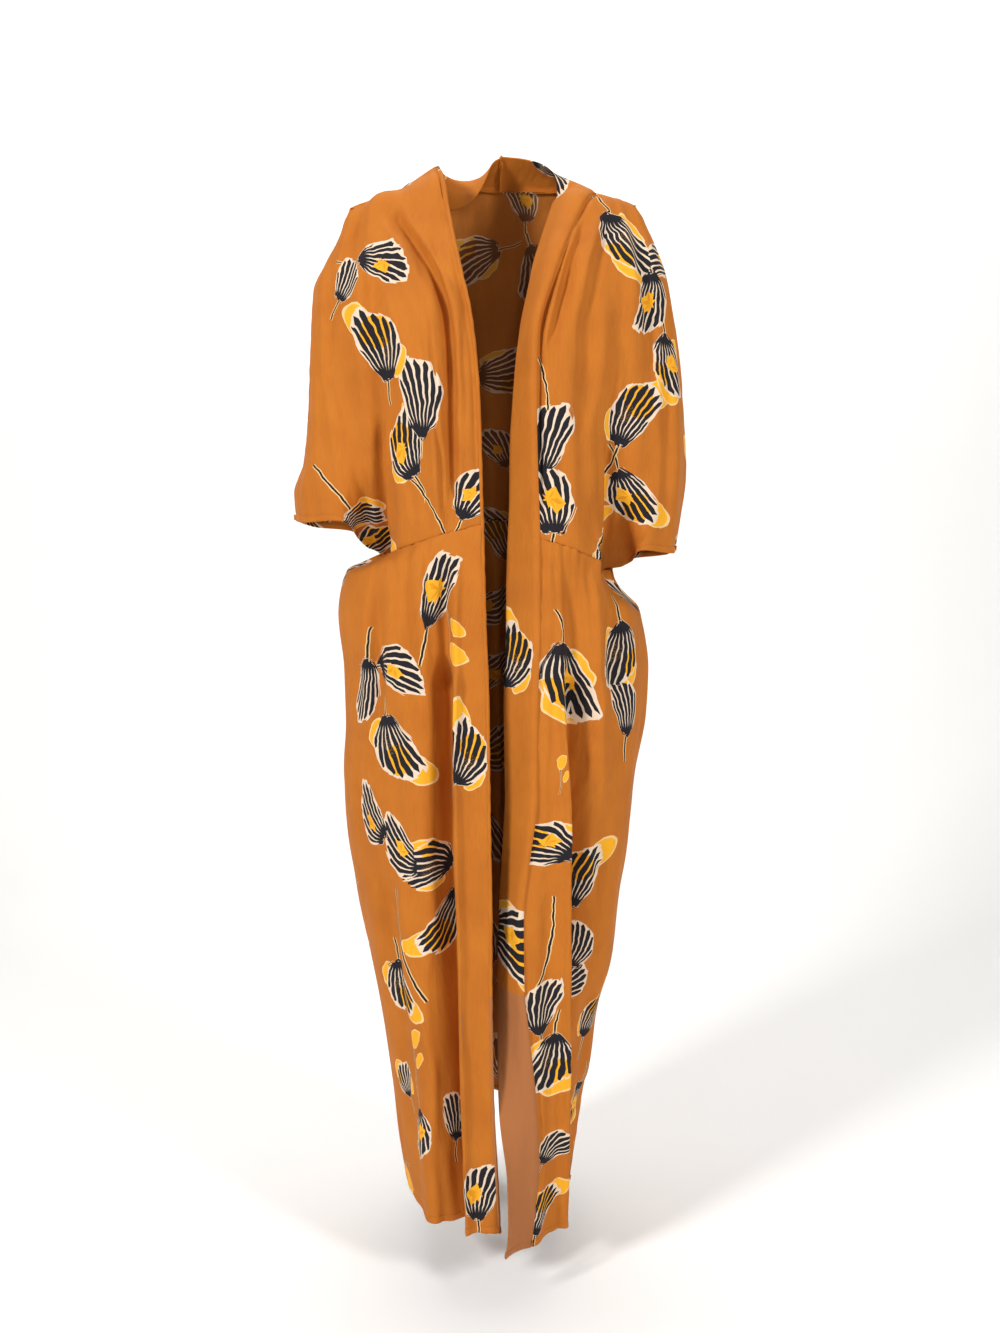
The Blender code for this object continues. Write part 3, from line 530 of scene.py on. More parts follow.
# Bands: each follows its seam round the neck and down the front, and rolls about it
bandSteps = np.array([0, .0015, .003, .0042, .0055, .0068, .008, .0105, .0135, .017, .0205, .024, .0275,
                      .031, .0345, .038, .0415, .0445, .047, .0487, cut["bandWidth"]])


def evened(vectors):  # directions along a seam, without the small waves of single rows
    reach = 3 * finer
    padded = np.concatenate([np.repeat(vectors[:1], reach, 0), vectors, np.repeat(vectors[-1:], reach, 0)])
    weights = np.hanning(2 * reach + 3)[1:-1]
    weights = weights / weights.sum()
    return unit(np.stack([np.convolve(padded[:, k], weights, "valid") for k in range(3)], 1))


def bandGrid(side, strips, neckCount):
    seam = np.array([points[0] for points, normals in strips])
    turn, lift, bend = (through(roll[side]["z"][::-1], roll[side][name][::-1], seam[:, 2] / mm)
                        for name in ("degrees", "lift", "bend"))
    fromNape = smoothStep(np.arange(neckCount) / neckCount)
    turn[:neckCount] = mix(cut["neckRoll"], turn[neckCount], fromNape)
    lift[:neckCount] = lift[neckCount] * fromNape
    bend[:neckCount] = mix(cut["neckBend"], bend[neckCount], fromNape)
    tangent = evened(np.gradient(seam, axis=0))
    tangent[0] = (-1, 0, 0) if side == "right" else (1, 0, 0)
    across = evened(np.array([normals[0] for points, normals in strips]))
    grid = []
    for (points, normals), t, n, angle, rise, length in zip(
            strips, tangent, across, np.radians(turn), np.radians(lift), bend * mm):
        leave = unit(np.cross(n, t) if side == "right" else np.cross(t, n))
        n = unit(np.cross(t, leave) if side == "right" else np.cross(leave, t))
        spot = points[0].copy()
        row = [spot.copy()]
        for start, end in zip(bandSteps, bandSteps[1:]):
            for k in range(grain["bend"]):
                along = mix(start, end, (k + 0.5) / grain["bend"])
                heading = mix(-rise, angle, min(1, along / length))
                spot += (leave * np.cos(heading) - n * np.sin(heading)) * (end - start) / grain["bend"]
            row.append(spot.copy())
        row = np.array(row)
        turned = smoothStep((np.degrees(angle) - cut["turnedBack"]) / cut["turning"])
        if turned > 0:  # folded right back: it lies on the panel's inside
            behind = bandSteps - cut["bendLength"]
            reach = np.concatenate([[0], np.cumsum(np.linalg.norm(np.diff(points, axis=0), axis=1))])
            lies = np.stack([np.interp(np.maximum(behind, 0), reach, points[:, k]) for k in range(3)], 1)
            face = np.stack([np.interp(np.maximum(behind, 0), reach, normals[:, k]) for k in range(3)], 1)
            row = mix(row, lies - face * 2 * cut["bendLength"] / math.pi, turned * (behind >= 0)[:, None])
        grid.append(row)
    return np.array(grid)


def panelGrids():
    fronts = {side: frontGrid(side) for side in ("right", "left")}
    back = backGrid(fronts)
    armCount = grain["arm"] + grain["underarm"]
    grids = {"back": back, "skirt_back": skirtBackGrid(back[-1][armCount:-armCount])}
    for side in fronts:
        grids["front_" + side] = fronts[side]
        grids["skirt_front_" + side] = skirtFrontGrid(side, fronts[side][-1][:grain["front"] + 1])
    return grids


def bandGrids(grids):
    normals = {name: outward(grid, name) for name, grid in grids.items()}
    centre = grids["back"].shape[1] // 2
    made = {}
    for side, step in (("right", -1), ("left", 1)):
        neck = range(centre, centre + step * grain["neck"], step)
        strips = [(grids["back"][:, j], normals["back"][:, j]) for j in neck]
        for name, first in (("front_" + side, 0), ("skirt_front_" + side, 1)):
            strips += [(grids[name][i], normals[name][i]) for i in range(first, len(grids[name]))]
        made["band_" + side] = bandGrid(side, strips, grain["neck"])
    return made


print("stage: panels")
grids = panelGrids()
grids.update(bandGrids(grids))


# Flat pattern of each panel, in metres: its threads settle to their true lengths in rounds, each with
# every so many threads, so many times
settle = {"push": 0.18, "rounds": ((16, 500), (8, 400), (4, 250), (2, 120))}


def relax(flat, solid, rounds):
    pairs = []
    for di, dj in ((0, 1), (1, 0), (1, 1), (1, -1)):
        a = (slice(0, len(flat) - di), slice(max(0, -dj), flat.shape[1] - max(0, dj)))
        b = (slice(di, len(flat)), slice(max(0, dj), flat.shape[1] - max(0, -dj)))
        pairs.append((a, b, np.linalg.norm(solid[b] - solid[a], axis=-1)))
    for _ in range(rounds):
        push = np.zeros_like(flat)
        for a, b, length in pairs:
            step = flat[b] - flat[a]
            now = np.linalg.norm(step, axis=-1) + tiny
            move = step * ((now - length) / now)[..., None]
            push[a] += move
            push[b] -= move
        flat = flat + push * settle["push"]
    return flat


def picked(count, stride):
    return np.unique(np.concatenate([np.arange(0, count, stride), [count - 1]]))


def spreadOut(values, rows, columns, newRows, newColumns):  # coarse values read at finer rows and columns
    wide = np.stack([[np.interp(newColumns, columns, line) for line in values[..., k]]
                     for k in range(values.shape[2])], -1)
    return np.stack([[np.interp(newRows, rows, line) for line in wide[..., k].T]
                     for k in range(values.shape[2])], -1).swapaxes(0, 1)


def flatten(grid, name):
    rows, columns = grid.shape[:2]
    across = np.linalg.norm(np.diff(grid, axis=1), axis=2).mean(axis=0)
    down = np.linalg.norm(np.diff(grid, axis=0), axis=2).mean(axis=1)
    u = np.concatenate([[0], np.cumsum(across)]) * -facing[name]
    v = -np.concatenate([[0], np.cumsum(down)])
    flat = np.stack(np.meshgrid(u, v), -1)
    last = None
    for stride, rounds in settle["rounds"]:
        i, j = picked(rows, stride), picked(columns, stride)
        start = flat[np.ix_(i, j)] if last is None else spreadOut(*last, i, j)
        last = (relax(start, grid[np.ix_(i, j)], rounds), i, j)
    flat = spreadOut(*last, np.arange(rows), np.arange(columns))
    lengthwise = (flat[-1] - flat[0]).mean(axis=0)
    turn = math.atan2(lengthwise[0], -lengthwise[1])
    c, s = math.cos(-turn), math.sin(-turn)
    flat = flat @ np.array([[c, s], [-s, c]])
    return flat - flat.reshape(-1, 2).min(axis=0)


print("stage: flat patterns")
flats = {name: flatten(grid, name) for name, grid in grids.items()}


# Finer relief: creases, puckers along seams and slack in the weave
relief = {"seamDepth": 0.0009, "seamWidth": 0.0016, "seamRaise": 0.0003, "raiseAt": 0.006,
          "raiseWidth": 0.003, "seamTurned": 3.2, "puckerDepth": 0.00030, "puckerReach": 0.012,
          "puckerLength": 0.034, "waistPucker": 0.0012, "waistReach": 0.028,
          "waistLength": 0.017, "hemWidth": 0.009, "hemRaise": 0.00035, "hemSlope": 0.002,
          "hemGroove": 0.0006, "grooveWidth": 0.0011, "hemUneven": 0.6, "hemLength": 0.017,
          "threadProud": 0.0001, "slack": 0.0009, "bandSlack": 0.0003,
          "calm": 0.012, "calmShare": 0.25, "gapAt": 0.0045, "gapWidth": 0.0035, "gapFrom": 0.3,
          "gapOver": 0.12, "gapUneven": 0.35, "gapLength": 0.2,
          "gap": {"front_left": 0.0075, "skirt_front_left": 0.0045, "front_right": 0.0030}}
seamSides = {name: "start top" if name.startswith("band") else "start end top" for name in facing}
wallThickness = {"panel": 0.0007, "band": 0.0014}


def wallOf(name):
    return wallThickness["band" if name.startswith("band") else "panel"]


def lookFrom(values, side):  # a view of the grid whose first axis runs inwards from that side
    values = values.swapaxes(0, 1) if side in ("start", "end") else values
    return values[::-1] if side in ("end", "bottom") else values


def lookBack(values, side):
    values = values[::-1] if side in ("end", "bottom") else values
    return values.swapaxes(0, 1) if side in ("start", "end") else values


def edgeDistance(grid, side):
    view = lookFrom(grid, side)
    reach = np.cumsum(np.linalg.norm(np.diff(view, axis=0), axis=2), axis=0)
    return lookBack(np.concatenate([np.zeros((1,) + view.shape[1:2]), reach]), side)


def waver(x, seed, length):  # smooth uneven wave between -1 and 1 along a length in metres
    random = np.random.default_rng(seed)
    total = 0
    for k in range(6):
        total = total + np.sin(x * 2 * math.pi / length * random.uniform(0.5, 1.7) + random.uniform(0, 6.3))
    return total / 3


def slackIn(flat, seed):  # long soft waves, as cloth that hangs has
    random = np.random.default_rng(seed)
    total = np.zeros(flat.shape[:2])
    for k in range(14):
        across, along = 2 * math.pi / random.uniform(0.022, 0.075), 2 * math.pi / random.uniform(0.16, 0.6)
        lean = random.choice([-1, 1])
        total += np.sin(flat[..., 0] * across + lean * flat[..., 1] * along + random.uniform(0, 6.3))
    return total / math.sqrt(14)


def bringLife(name, number):
    grid, flat = grids[name], flats[name]
    normal = outward(grid, name)
    isBand = name.startswith("band")
    inwards = foldDepth(grid, name, fineCreases)[0]
    inwards = inwards - relief["bandSlack" if isBand else "slack"] * slackIn(flat, 40 + number)
    for k, side in enumerate(seamSides[name].split()):
        distance = edgeDistance(grid, side)
        along = flat[..., 1] if side in ("start", "end") else flat[..., 0]
        depth, reach, length = relief["puckerDepth"], relief["puckerReach"], relief["puckerLength"]
        if side == "top" and name.startswith("skirt"):
            depth, reach, length = relief["waistPucker"], relief["waistReach"], relief["waistLength"]
        inwards = inwards * smoothStep(relief["calmShare"] + distance / relief["calm"])
        inwards = inwards + depth * waver(along, 7 * number + k, length) * np.exp(-distance / reach)
        if side == "start" and name in relief["gap"]:  # the panel dips behind the band beside their seam
            dip = smoothStep(flat[..., 1] / relief["gapOver"] - relief["gapFrom"])
            dip = dip * (1 + relief["gapUneven"] * waver(along, 3, relief["gapLength"]))
            away = (distance - relief["gapAt"]) / relief["gapWidth"]
            inwards = inwards + relief["gap"][name] * dip * np.exp(-away ** 2)
    return grid - normal * inwards[..., None]


for number, name in enumerate(list(grids)):
    grids[name] = bringLife(name, number)


# Edges: a groove at each seam with its allowance turned in, and a turned hem at each free end
def addLines(values, side, distances, keepFrom):
    view = lookFrom(values, side)
    reach = np.cumsum(np.linalg.norm(np.diff(view[:keepFrom + 1, :, :3], axis=0), axis=2), axis=0)
    reach = np.concatenate([np.zeros((1, view.shape[1])), reach])
    lines = np.empty((len(distances),) + view.shape[1:])
    for j in range(view.shape[1]):
        for k in range(view.shape[2]):
            lines[:, j, k] = np.interp(distances, reach[:, j], view[:keepFrom + 1, j, k])
    return lookBack(np.concatenate([lines, view[keepFrom:]]), side)


hemLines = (0, .0012, .003, .0055, .0076, .009, .0104, .0125)
seamLines = (0, .0006, .0013, .0022, .0035)
keepRows = {"skirt": 5, "front": 6, "back": 6, "band": 5}  # rows that the hem's own lines replace
# Allowance that is turned in: how far inside, up from the edge, and past it in the pattern
turnedHem = ((.00055, -.0002, .0006), (.0011, .001, .002), (.0013, .004, .005), (.0013, .0085, .0095))
turnedSeam = (0.0015, 0.004)
hemStitches = []


def gridWithEdges(name):
    seam = np.zeros(grids[name].shape[:2] + (1,))
    armCount = grain["arm"] + grain["underarm"]
    if name == "back":
        seam[:, armCount:-armCount] = 1
    elif name.startswith("front"):
        seam[:, :grain["front"] + 1] = 1
    values = np.concatenate([grids[name], flats[name], seam], -1)
    thick = wallOf(name)
    values = addLines(values, "bottom", hemLines, keepRows[name.split("_")[0]])
    for side in seamSides[name].split():
        values = addLines(values, side, seamLines, 3)
    grid = values[..., :3]
    normal = outward(grid, name)
    inwards = np.zeros(grid.shape[:2])
    for side in seamSides[name].split():
        distance = edgeDistance(grid, side)
        inwards += relief["seamDepth"] * np.exp(-(distance / relief["seamWidth"]) ** 2)
        if side in ("start", "end"):
            raised = np.exp(-((distance - relief["raiseAt"]) / relief["raiseWidth"]) ** 2)
            inwards -= relief["seamRaise"] * raised
    # the bottom is the waist seam on the body of a bodice, and a hem or cuff elsewhere
    distance = edgeDistance(grid, "bottom")
    isSeam = values[-1, :, 5] > 0.5
    seamPart = relief["seamDepth"] * np.exp(-(distance / relief["seamWidth"]) ** 2)
    past = distance - relief["hemWidth"]
    hemPart = relief["hemGroove"] * np.exp(-(past / relief["grooveWidth"]) ** 2)
    hemPart = hemPart - relief["hemRaise"] * smoothStep(-past / relief["hemSlope"])
    hemPart = hemPart * (1 + relief["hemUneven"] * waver(values[..., 0], len(name), relief["hemLength"]))
    inwards += np.where(isSeam[None, :], seamPart, hemPart)
    grid = grid - normal * inwards[..., None]
    values = np.concatenate([grid, values[..., 3:5]], -1)
    line = -1 - hemLines.index(relief["hemWidth"])
    sewn = grid[line] + normal[line] * (thick / 2 + relief["threadProud"])
    hemStitches.extend(run for run in np.split(sewn, np.flatnonzero(np.diff(isSeam.astype(int))) + 1)
                       if not isSeam[np.argmin(np.linalg.norm(sewn - run[len(run) // 2], axis=1))])
    # what is turned to the inside
    normal = outward(grid, name)
    edge, nextEdge = values[-1], values[-4]
    back = unit(nextEdge[:, :3] - edge[:, :3])
    lines = []
    for inside, up, beyond in turnedHem:
        line = edge.copy()
        line[:, :3] += -normal[-1] * inside * (thick / wallThickness["panel"]) ** 0.5 + back * up
        line[:, 3:] += unit(edge[:, 3:] - nextEdge[:, 3:]) * beyond
        seamLine = edge.copy()
        seamLine[:, :3] += -normal[-1] * (inside * relief["seamTurned"])
        line = np.where(isSeam[:, None], seamLine, line)
        lines.append(line)
    values = np.concatenate([values, np.array(lines)])
    for side in seamSides[name].split():
        view = lookFrom(values, side)
        normal = lookFrom(outward(values[..., :3], name), side)
        turned = []
        for deep in turnedSeam:
            line = view[0].copy()
            line[:, :3] -= normal[0] * deep
            line[:, 3:] -= unit(view[2][:, 3:] - view[0][:, 3:]) * deep
            turned.insert(0, line)
        values = lookBack(np.concatenate([np.array(turned), view]), side)
    return values


print("stage: edges")
edged = {name: gridWithEdges(name) for name in grids}

# Print: loose leaves, charted in millimetres at the middle of each, seen from the panel's right
# side. turn is the way the leaf points in degrees from upright, clockwise; size is base to tip; wide is its
# width as a share of that; yellow is 0 none, 1 a spot, 2 petals behind, 3 both, 4 a bare twig, 5 a bud
leaves = readPanels("x z turn size wide bend yellow", """
    front_right
    -138 -112 82 70 0.82 0.4 1
    -180 -145 38 55 0.75 -0.32 0
    -131 -226 4 89 0.75 -0.32 2
    -82 -291 8 98 0.59 -0.24 0
    -116 -358 -42 76 0.84 0.48 3
    -176 -434 66 55 0.8 0.32 2
    -30 -407 24 70 0.91 0.32 1
    -196 -400 -20 100 0.5 0.15 4
    -77 -410 -24 74 0.5 0.15 4
    -164 -474 20 64 0.8 0.32 3
    front_left
    160 -97 168 93 0.66 -0.32 2
    206 -169 172 81 0.59 0.32 1
    219 -246 176 78 0.62 -0.32 3
    168 -309 6 89 0.71 0.32 2
    166 -410 158 78 0.78 -0.3 3
    62 -340 4 89 0.68 0.16 0
    76 -414 2 91 0.78 -0.32 1
    70 -272 4 70 0.5 0.15 4
    skirt_front_right
    -72 -528 12 104 0.46 0.1 1
    -53 -585 150 61 0.68 -0.32 5
    -128 -613 74 68 0.96 0.48 1
    -160 -657 186 89 0.46 0.16 0
    -132 -722 176 83 0.84 -0.32 2
    -26 -738 44 74 0.84 -0.48 2
    -158 -837 -72 61 1 0.64 1
    -118 -868 -82 64 1 0.64 1
    -74 -866 -62 74 0.98 -0.56 2
    -53 -955 196 91 0.62 0.32 2
    -121 -1047 178 70 0.82 -0.16 2
    -122 -968 -22 110 0.5 -0.16 4
    -102 -1134 8 55 0.46 0.16 5
    -120 -1193 -30 47 0.71 0.32 2
    -94 -1243 152 66 0.71 0.48 1
    -43 -1233 14 66 0.66 -0.32 0
    -22 -1318 4 81 0.71 0.24 1
    skirt_front_left
    86 -636 188 98 0.89 -0.4 3
    171 -608 174 83 0.68 0.32 2
    176 -683 4 76 0.59 -0.32 0
    88 -750 6 34 0.5 0.16 5
    74 -840 -52 76 0.96 -0.48 3
    100 -904 -6 85 0.71 0.4 2
    116 -1004 20 64 0.68 -0.32 0
    58 -1066 -12 72 0.75 0.32 0
    98 -1058 70 55 0.91 -0.32 0
    79 -1143 178 78 0.89 0.24 2
    128 -1112 4 70 0.57 0.32 2
    112 -1250 192 70 0.68 -0.32 3
    77 -1264 28 55 0.8 0.32 0
    57 -1353 2 70 0.64 0.32 2
    84 -964 18 100 0.5 0.16 4
    band_left
    32 -616 36 76 0.8 -0.32 2
    24 -976 96 98 1 0.16 3
    84 14 100 59 0.8 0.48 0
    band_right
    -56 20 250 59 0.8 0.48 2
    skirt_back
    -16 -920 182 81 0.8 0.32 0
    -2 -1090 2 76 0.75 0.32 2
    6 -1290 30 74 0.8 -0.32 2
    -88 -1010 150 74 0.8 -0.32 3
    74 -1180 -30 72 0.8 0.32 1
    back
    -24 -88 100 70 0.84 0.32 2
    66 -112 206 74 0.8 -0.32 1
""")
# Where the photograph's view doesn't reach, the same print follows a loose half-drop of this spacing
scatter = {"across": 0.104, "down": 0.112, "drop": 0.5, "shake": 0.020, "clear": 0.072,
           "size": (0.058, 0.086), "wide": (0.56, 0.86), "bend": (0.2, 0.5), "yellow": (0, 1, 2, 2, 3, 5),
           "reach": 0.05, "behind": -0.2}
seenWithin = 1.25  # a leaf is looked for on faces this near its middle, in its own lengths


def flatPlace(name, x, z):
    near = (grids[name][..., 0] - x * mm) ** 2 + (grids[name][..., 2] - z * mm) ** 2
    return flats[name][np.unravel_index(np.argmin(near), near.shape)]


def leavesOn(name, number):
    made = []  # of each leaf: middle, direction, size, width, bend, yellow
    for leaf in leaves:
        if leaf["panel"] == name:
            turn = math.radians(leaf["turn"])
            made.append((flatPlace(name, leaf["x"], leaf["z"]), np.array([math.sin(turn), math.cos(turn)]),
                         leaf["size"] * mm, leaf["wide"], leaf["bend"], leaf["yellow"]))
    if name.startswith("band"):
        return made
    random = np.random.default_rng(90 + number)
    flat, grid = flats[name], grids[name]
    normal = outward(grid, name)
    width, length = flat.reshape(-1, 2).max(axis=0)
    for i in range(int(width / scatter["across"]) + 2):
        for j in range(int(length / scatter["down"]) + 2):
            spot = np.array([i * scatter["across"], (j + scatter["drop"] * (i % 2)) * scatter["down"]])
            spot = spot + random.uniform(-1, 1, 2) * scatter["shake"]
            turn, size = random.uniform(0, 2 * math.pi), random.uniform(*scatter["size"])
            wide = random.uniform(*scatter["wide"])
            bend = random.uniform(*scatter["bend"]) * random.choice([-1, 1])
            yellow = random.choice(scatter["yellow"])
            near = np.linalg.norm(flat - spot, axis=2)
            at = np.unravel_index(np.argmin(near), near.shape)
            if near[at] > scatter["reach"] or ("front" in name and normal[at][1] < scatter["behind"]):
                continue
            if all(np.linalg.norm(spot - other[0]) > scatter["clear"] for other in made):
                made.append((spot, np.array([math.sin(turn), math.cos(turn)]), size, wide, bend, yellow))
    return made


def leafLayers(name, number, corners):  # two nearest leaves of each face, in the leaf's own measure
    made = leavesOn(name, number)
    faces = corners.shape[0]
    layers = []
    centres = corners.mean(axis=1)
    middles, axes, sizes = (np.array([leaf[k] for leaf in made]) for k in range(3))
    bases = middles - axes * sizes[:, None] / 2
    away = np.linalg.norm(centres[:, None] - middles[None], axis=2) / sizes[None]
    order = np.argsort(away, axis=1)
    for layer in range(2):
        nearest = order[:, layer] if len(made) > layer else order[:, 0]
        seen = away[np.arange(faces), nearest] < seenWithin
        if len(made) <= layer:
            seen[:] = False
        base, axis, size = bases[nearest], axes[nearest], sizes[nearest]
        offset = (corners - base[:, None]) / size[:, None, None]
        x = offset[..., 0] * axis[:, None, 1] - offset[..., 1] * axis[:, None, 0]
        y = offset[..., 0] * axis[:, None, 0] + offset[..., 1] * axis[:, None, 1]
        seed = (nearest * 0.377 + number * 0.19) % 1
        spots = np.stack([x, y, np.broadcast_to(seed[:, None], x.shape)], -1)
        spots[~seen] = (9, 9, 0)
        shape = np.array([leaf[3:] for leaf in made])[nearest]
        shape = np.broadcast_to(shape[:, None], spots.shape)
        layers.append((spots, shape))
    return layers


def inScene(title, data):
    made = bpy.data.objects.new(title, data)
    bpy.context.scene.collection.objects.link(made)
    return made


def clothPiece(name, number, sides):
    values = edged[name]
    rows, columns = values.shape[:2]
    index = np.arange(rows * columns).reshape(rows, columns)
    quads = np.stack([index[:-1, :-1], index[1:, :-1], index[1:, 1:], index[:-1, 1:]], -1).reshape(-1, 4)
    if facing[name] > 0:
        quads = quads[:, ::-1]
    mesh = bpy.data.meshes.new(name + "_cloth")
    mesh.from_pydata(values[..., :3].reshape(-1, 3).tolist(), [], quads.tolist())
    corners = values[..., 3:].reshape(-1, 2)[quads]
    mesh.uv_layers.new(name="pattern").data.foreach_set("uv", corners.ravel())
    for letter, layer in zip("AB", leafLayers(name, number, corners)):
        for title, vectors in zip(("leaf", "form"), layer):
            held = mesh.attributes.new(title + letter, "FLOAT_VECTOR", "CORNER")
            held.data.foreach_set("vector", np.ascontiguousarray(vectors).ravel())
    for material in sides:
        mesh.materials.append(material)
    mesh.shade_smooth()
    piece = inScene(name + "_cloth", mesh)
    wall = piece.modifiers.new("wall", "SOLIDIFY")
    wall.thickness = wallOf(name)
    wall.offset = 0
    wall.use_even_offset = False
    wall.material_offset = 1
    wall.material_offset_rim = 0
    return piece


# Materials
def linear(code):
    channels = [int(code[k:k + 2], 16) / 255 for k in (1, 3, 5)]
    return tuple(c / 12.92 if c <= 0.04045 else ((c + 0.055) / 1.055) ** 2.4 for c in channels) + (1.0,)


def addNode(tree, kind, links=None, **settings):
    made = tree.nodes.new(kind)
    for key, value in settings.items():
        setattr(made, key, value)
    for key, value in (links or {}).items():
        source = value.outputs[0] if isinstance(value, bpy.types.Node) else value
        if isinstance(source, bpy.types.NodeSocket):
            tree.links.new(source, made.inputs[key])
        else:
            made.inputs[key].default_value = source
    return made


printColours = {"stroke": "#1B191F", "cream": "#DCC6AE", "yellow": "#E8A423", "amber": "#D98E16",
                "outline": "#E2BE86"}
# Measures of a leaf as shares of its length
leafForm = {"wobble": 0.06, "strokeRun": 3.5, "middle": 0.52, "corner": 0.26, "jag": 0.13, "border": 0.05,
            "strokeWidth": 0.335, "tipTaper": 8.0, "stemHalf": 0.015, "stemRim": 0.029, "stemFrom": -0.42}
# Formula of one leaf, one Math node a step, from earlier results, measures of leafForm and numbers.
# x and y run across and along the leaf, seed differs from leaf to leaf
signs = {"*": "MULTIPLY", "+": "ADD", "-": "SUBTRACT", "/": "DIVIDE", "<": "LESS_THAN", ">": "GREATER_THAN"}
leafSteps = {
    "place": """
        x = nx - 0.5; x = x * wobble + x0; y = ny - 0.5; y = y * wobble + y0; yy = y * y;
        xBent = yy * bend; xBent = x - xBent""",
    "strokes: a family of curves that leave the base sideways and turn upwards": """
        rise = y maximum 0; rise = rise + 0.015; rise = rise power 0.68; fan = rise * wide;
        fan = fan * 0.72; share = xBent / fan; run = share * strokeRun + seed; which = floor run;
        run = fract run; run = run - 0.5; run = absolute run; dice = seed * 78.2 + which;
        dice = dice * 12.9898; dice = sine dice; dice = dice * 437.585; dice = fract dice""",
    "outline: an egg with corners": """
        ox = xBent / wide; ox = ox * 2; slim = y * -0.62 + 1.36; ox = ox * slim; oy = y - middle;
        oy = oy * 2; oo = ox * ox; oo = oy * oy + oo; oo = sqrt oo; around = ox arctan2 oy;
        around = around * 1.114 + seed; around = fract around; around = around - 0.5;
        around = around * around; reach = around * corner + 0.9; reach = dice * jag + reach;
        edge = reach - oo; isLeaf = kind < 3.5; inside = edge > 0; inside = inside * isLeaf;
        clear = edge > border; clear = clear * isLeaf; tip = dice * -0.06 + edge; tip = tip * tipTaper;
        tip = tip maximum 0; tip = tip minimum 1; low = 0.26 - y; low = low maximum 0;
        dark = low * 1.7 + strokeWidth; dark = dice * 0.05 + dark; tipLow = low * 9;
        tip = tip maximum tipLow; tip = tip minimum 1; dark = dark * tip; stroke = run < dark;
        clearTip = edge > 0.015; clearTip = clearTip * isLeaf; stroke = stroke * clearTip""",
    "yellow: a patch of the ground, a spot with an amber heart, petals that peep out behind": """
        way = seed - 0.5; way = sign way; gx = way * -0.17 + x; gy = y - 0.72; gg = gx * gx;
        gg = gy * gy + gg; hasPetals = kind > 1.5; ground = gg < 0.058; ground = ground * clear;
        ground = ground * hasPetals; sx = way * 0.08 + xBent; sy = y - 0.5; sx = sx * 1.2; ss = sx * sx;
        ss = sy * sy + ss; ss = around * -0.07 + ss; ss = dice * 0.012 + ss; half = kind * 0.5;
        half = fract half; odd = half > 0.25; spot = ss < 0.022; spot = spot * odd; spot = spot * clear;
        heart = ss < 0.003; heart = heart * spot; px = way * -0.46 + ox; py = oy - 0.62; pp = px * px;
        pp = py * py + pp; pp = sqrt pp; qx = way * 0.74 + ox; qy = oy + 0.38; qq = qx * qx;
        qq = qy * qy + qq; qq = sqrt qq; qq = qq + 0.1; pp = pp minimum qq; pp = around * -0.35 + pp;
        noTwig = kind - 4; noTwig = absolute noTwig; noTwig = noTwig > 0.5;
        hasPetals = hasPetals * noTwig; petal = pp < 0.5; petal = petal * hasPetals;
        petalEdge = pp < 0.56; petalEdge = petalEdge * hasPetals""",
    "stem, or a whole twig": """
        bow = yy * bend; bow = bow * 1.6; stem = x + bow; isBare = 1 - isLeaf;
        top = isBare * 0.85 + 0.1; stemTop = y < top; stemLow = y > stemFrom; near = stemTop * stemLow;
        stem = absolute stem; stemLine = stem < stemHalf; stemLine = stemLine * near;
        stemEdge = stem < stemRim; stemEdge = stemEdge * near"""}


def leafGroup():
    # strokes that rise from the leaf's base and bow outwards over cream, in an angular outline
    tree = bpy.data.node_groups.new("bowedLeaf", "ShaderNodeTree")
    node = partial(addNode, tree)
    for title, kind in (("Spot", "Vector"), ("Form", "Vector"), ("Cloth", "Color")):
        tree.interface.new_socket(title, in_out="INPUT", socket_type="NodeSocket" + kind)
    tree.interface.new_socket("Colour", in_out="OUTPUT", socket_type="NodeSocketColor")
    entry = node("NodeGroupInput")
    wobble = node("ShaderNodeTexNoise", {"Vector": entry.outputs["Spot"], "Scale": 5.5, "Detail": 1.5})
    got = {}
    for source, titles in ((entry.outputs["Spot"], ("x0", "y0", "seed")),
                           (entry.outputs["Form"], ("wide", "bend", "kind")),
                           (wobble.outputs["Color"], ("nx", "ny", "nz"))):
        got.update(zip(titles, node("ShaderNodeSeparateXYZ", {0: source}).outputs))
    for step in ";".join(leafSteps.values()).split(";"):
        title, _, *words = step.split()
        values = words[::2] if len(words) > 2 else words[1:]
        operation = "MULTIPLY_ADD" if len(words) > 3 else words[1] if len(words) > 2 else words[0]
        sources = [got[v] if v in got else leafForm[v] if v in leafForm else float(v) for v in values]
        got[title] = node("ShaderNodeMath", dict(enumerate(sources)),
                          operation=signs.get(operation, operation.upper()))
    colour = entry.outputs["Cloth"]
    for mask, shade in (("stemEdge", "outline"), ("stemLine", "stroke"), ("petalEdge", "outline"),
                        ("petal", "yellow"), ("inside", "cream"), ("ground", "yellow"),
                        ("stroke", "stroke"), ("spot", "yellow"), ("heart", "amber")):
        colour = node("ShaderNodeMix", {0: got[mask], 6: colour, 7: linear(printColours[shade])},
                      data_type="RGBA").outputs[2]
    node("NodeGroupOutput", {0: colour})
    return tree


rayon = {"ground": "#BD6F20", "deep": "#AC601A", "wrongSide": "#A96830", "plainBand": "#A4663A",
         "plainFrom": -1.045, "roughness": 0.80, "smoother": 0.06, "rougher": 0.08, "specular": 0.22,
         "sheen": 0.05, "sheenRoughness": 0.45, "sheenTint": "#F7C58E", "slub": 0.0016, "slubLength": 0.022,
         "slubShare": 0.55, "patches": 14.0, "thread": 0.0009, "bump": 0.15, "threadDepth": 0.0004,
         "crumple": 0.016, "crumpleLength": 0.045, "crumpleDepth": 0.0032, "crumpleTurn": 0.12}


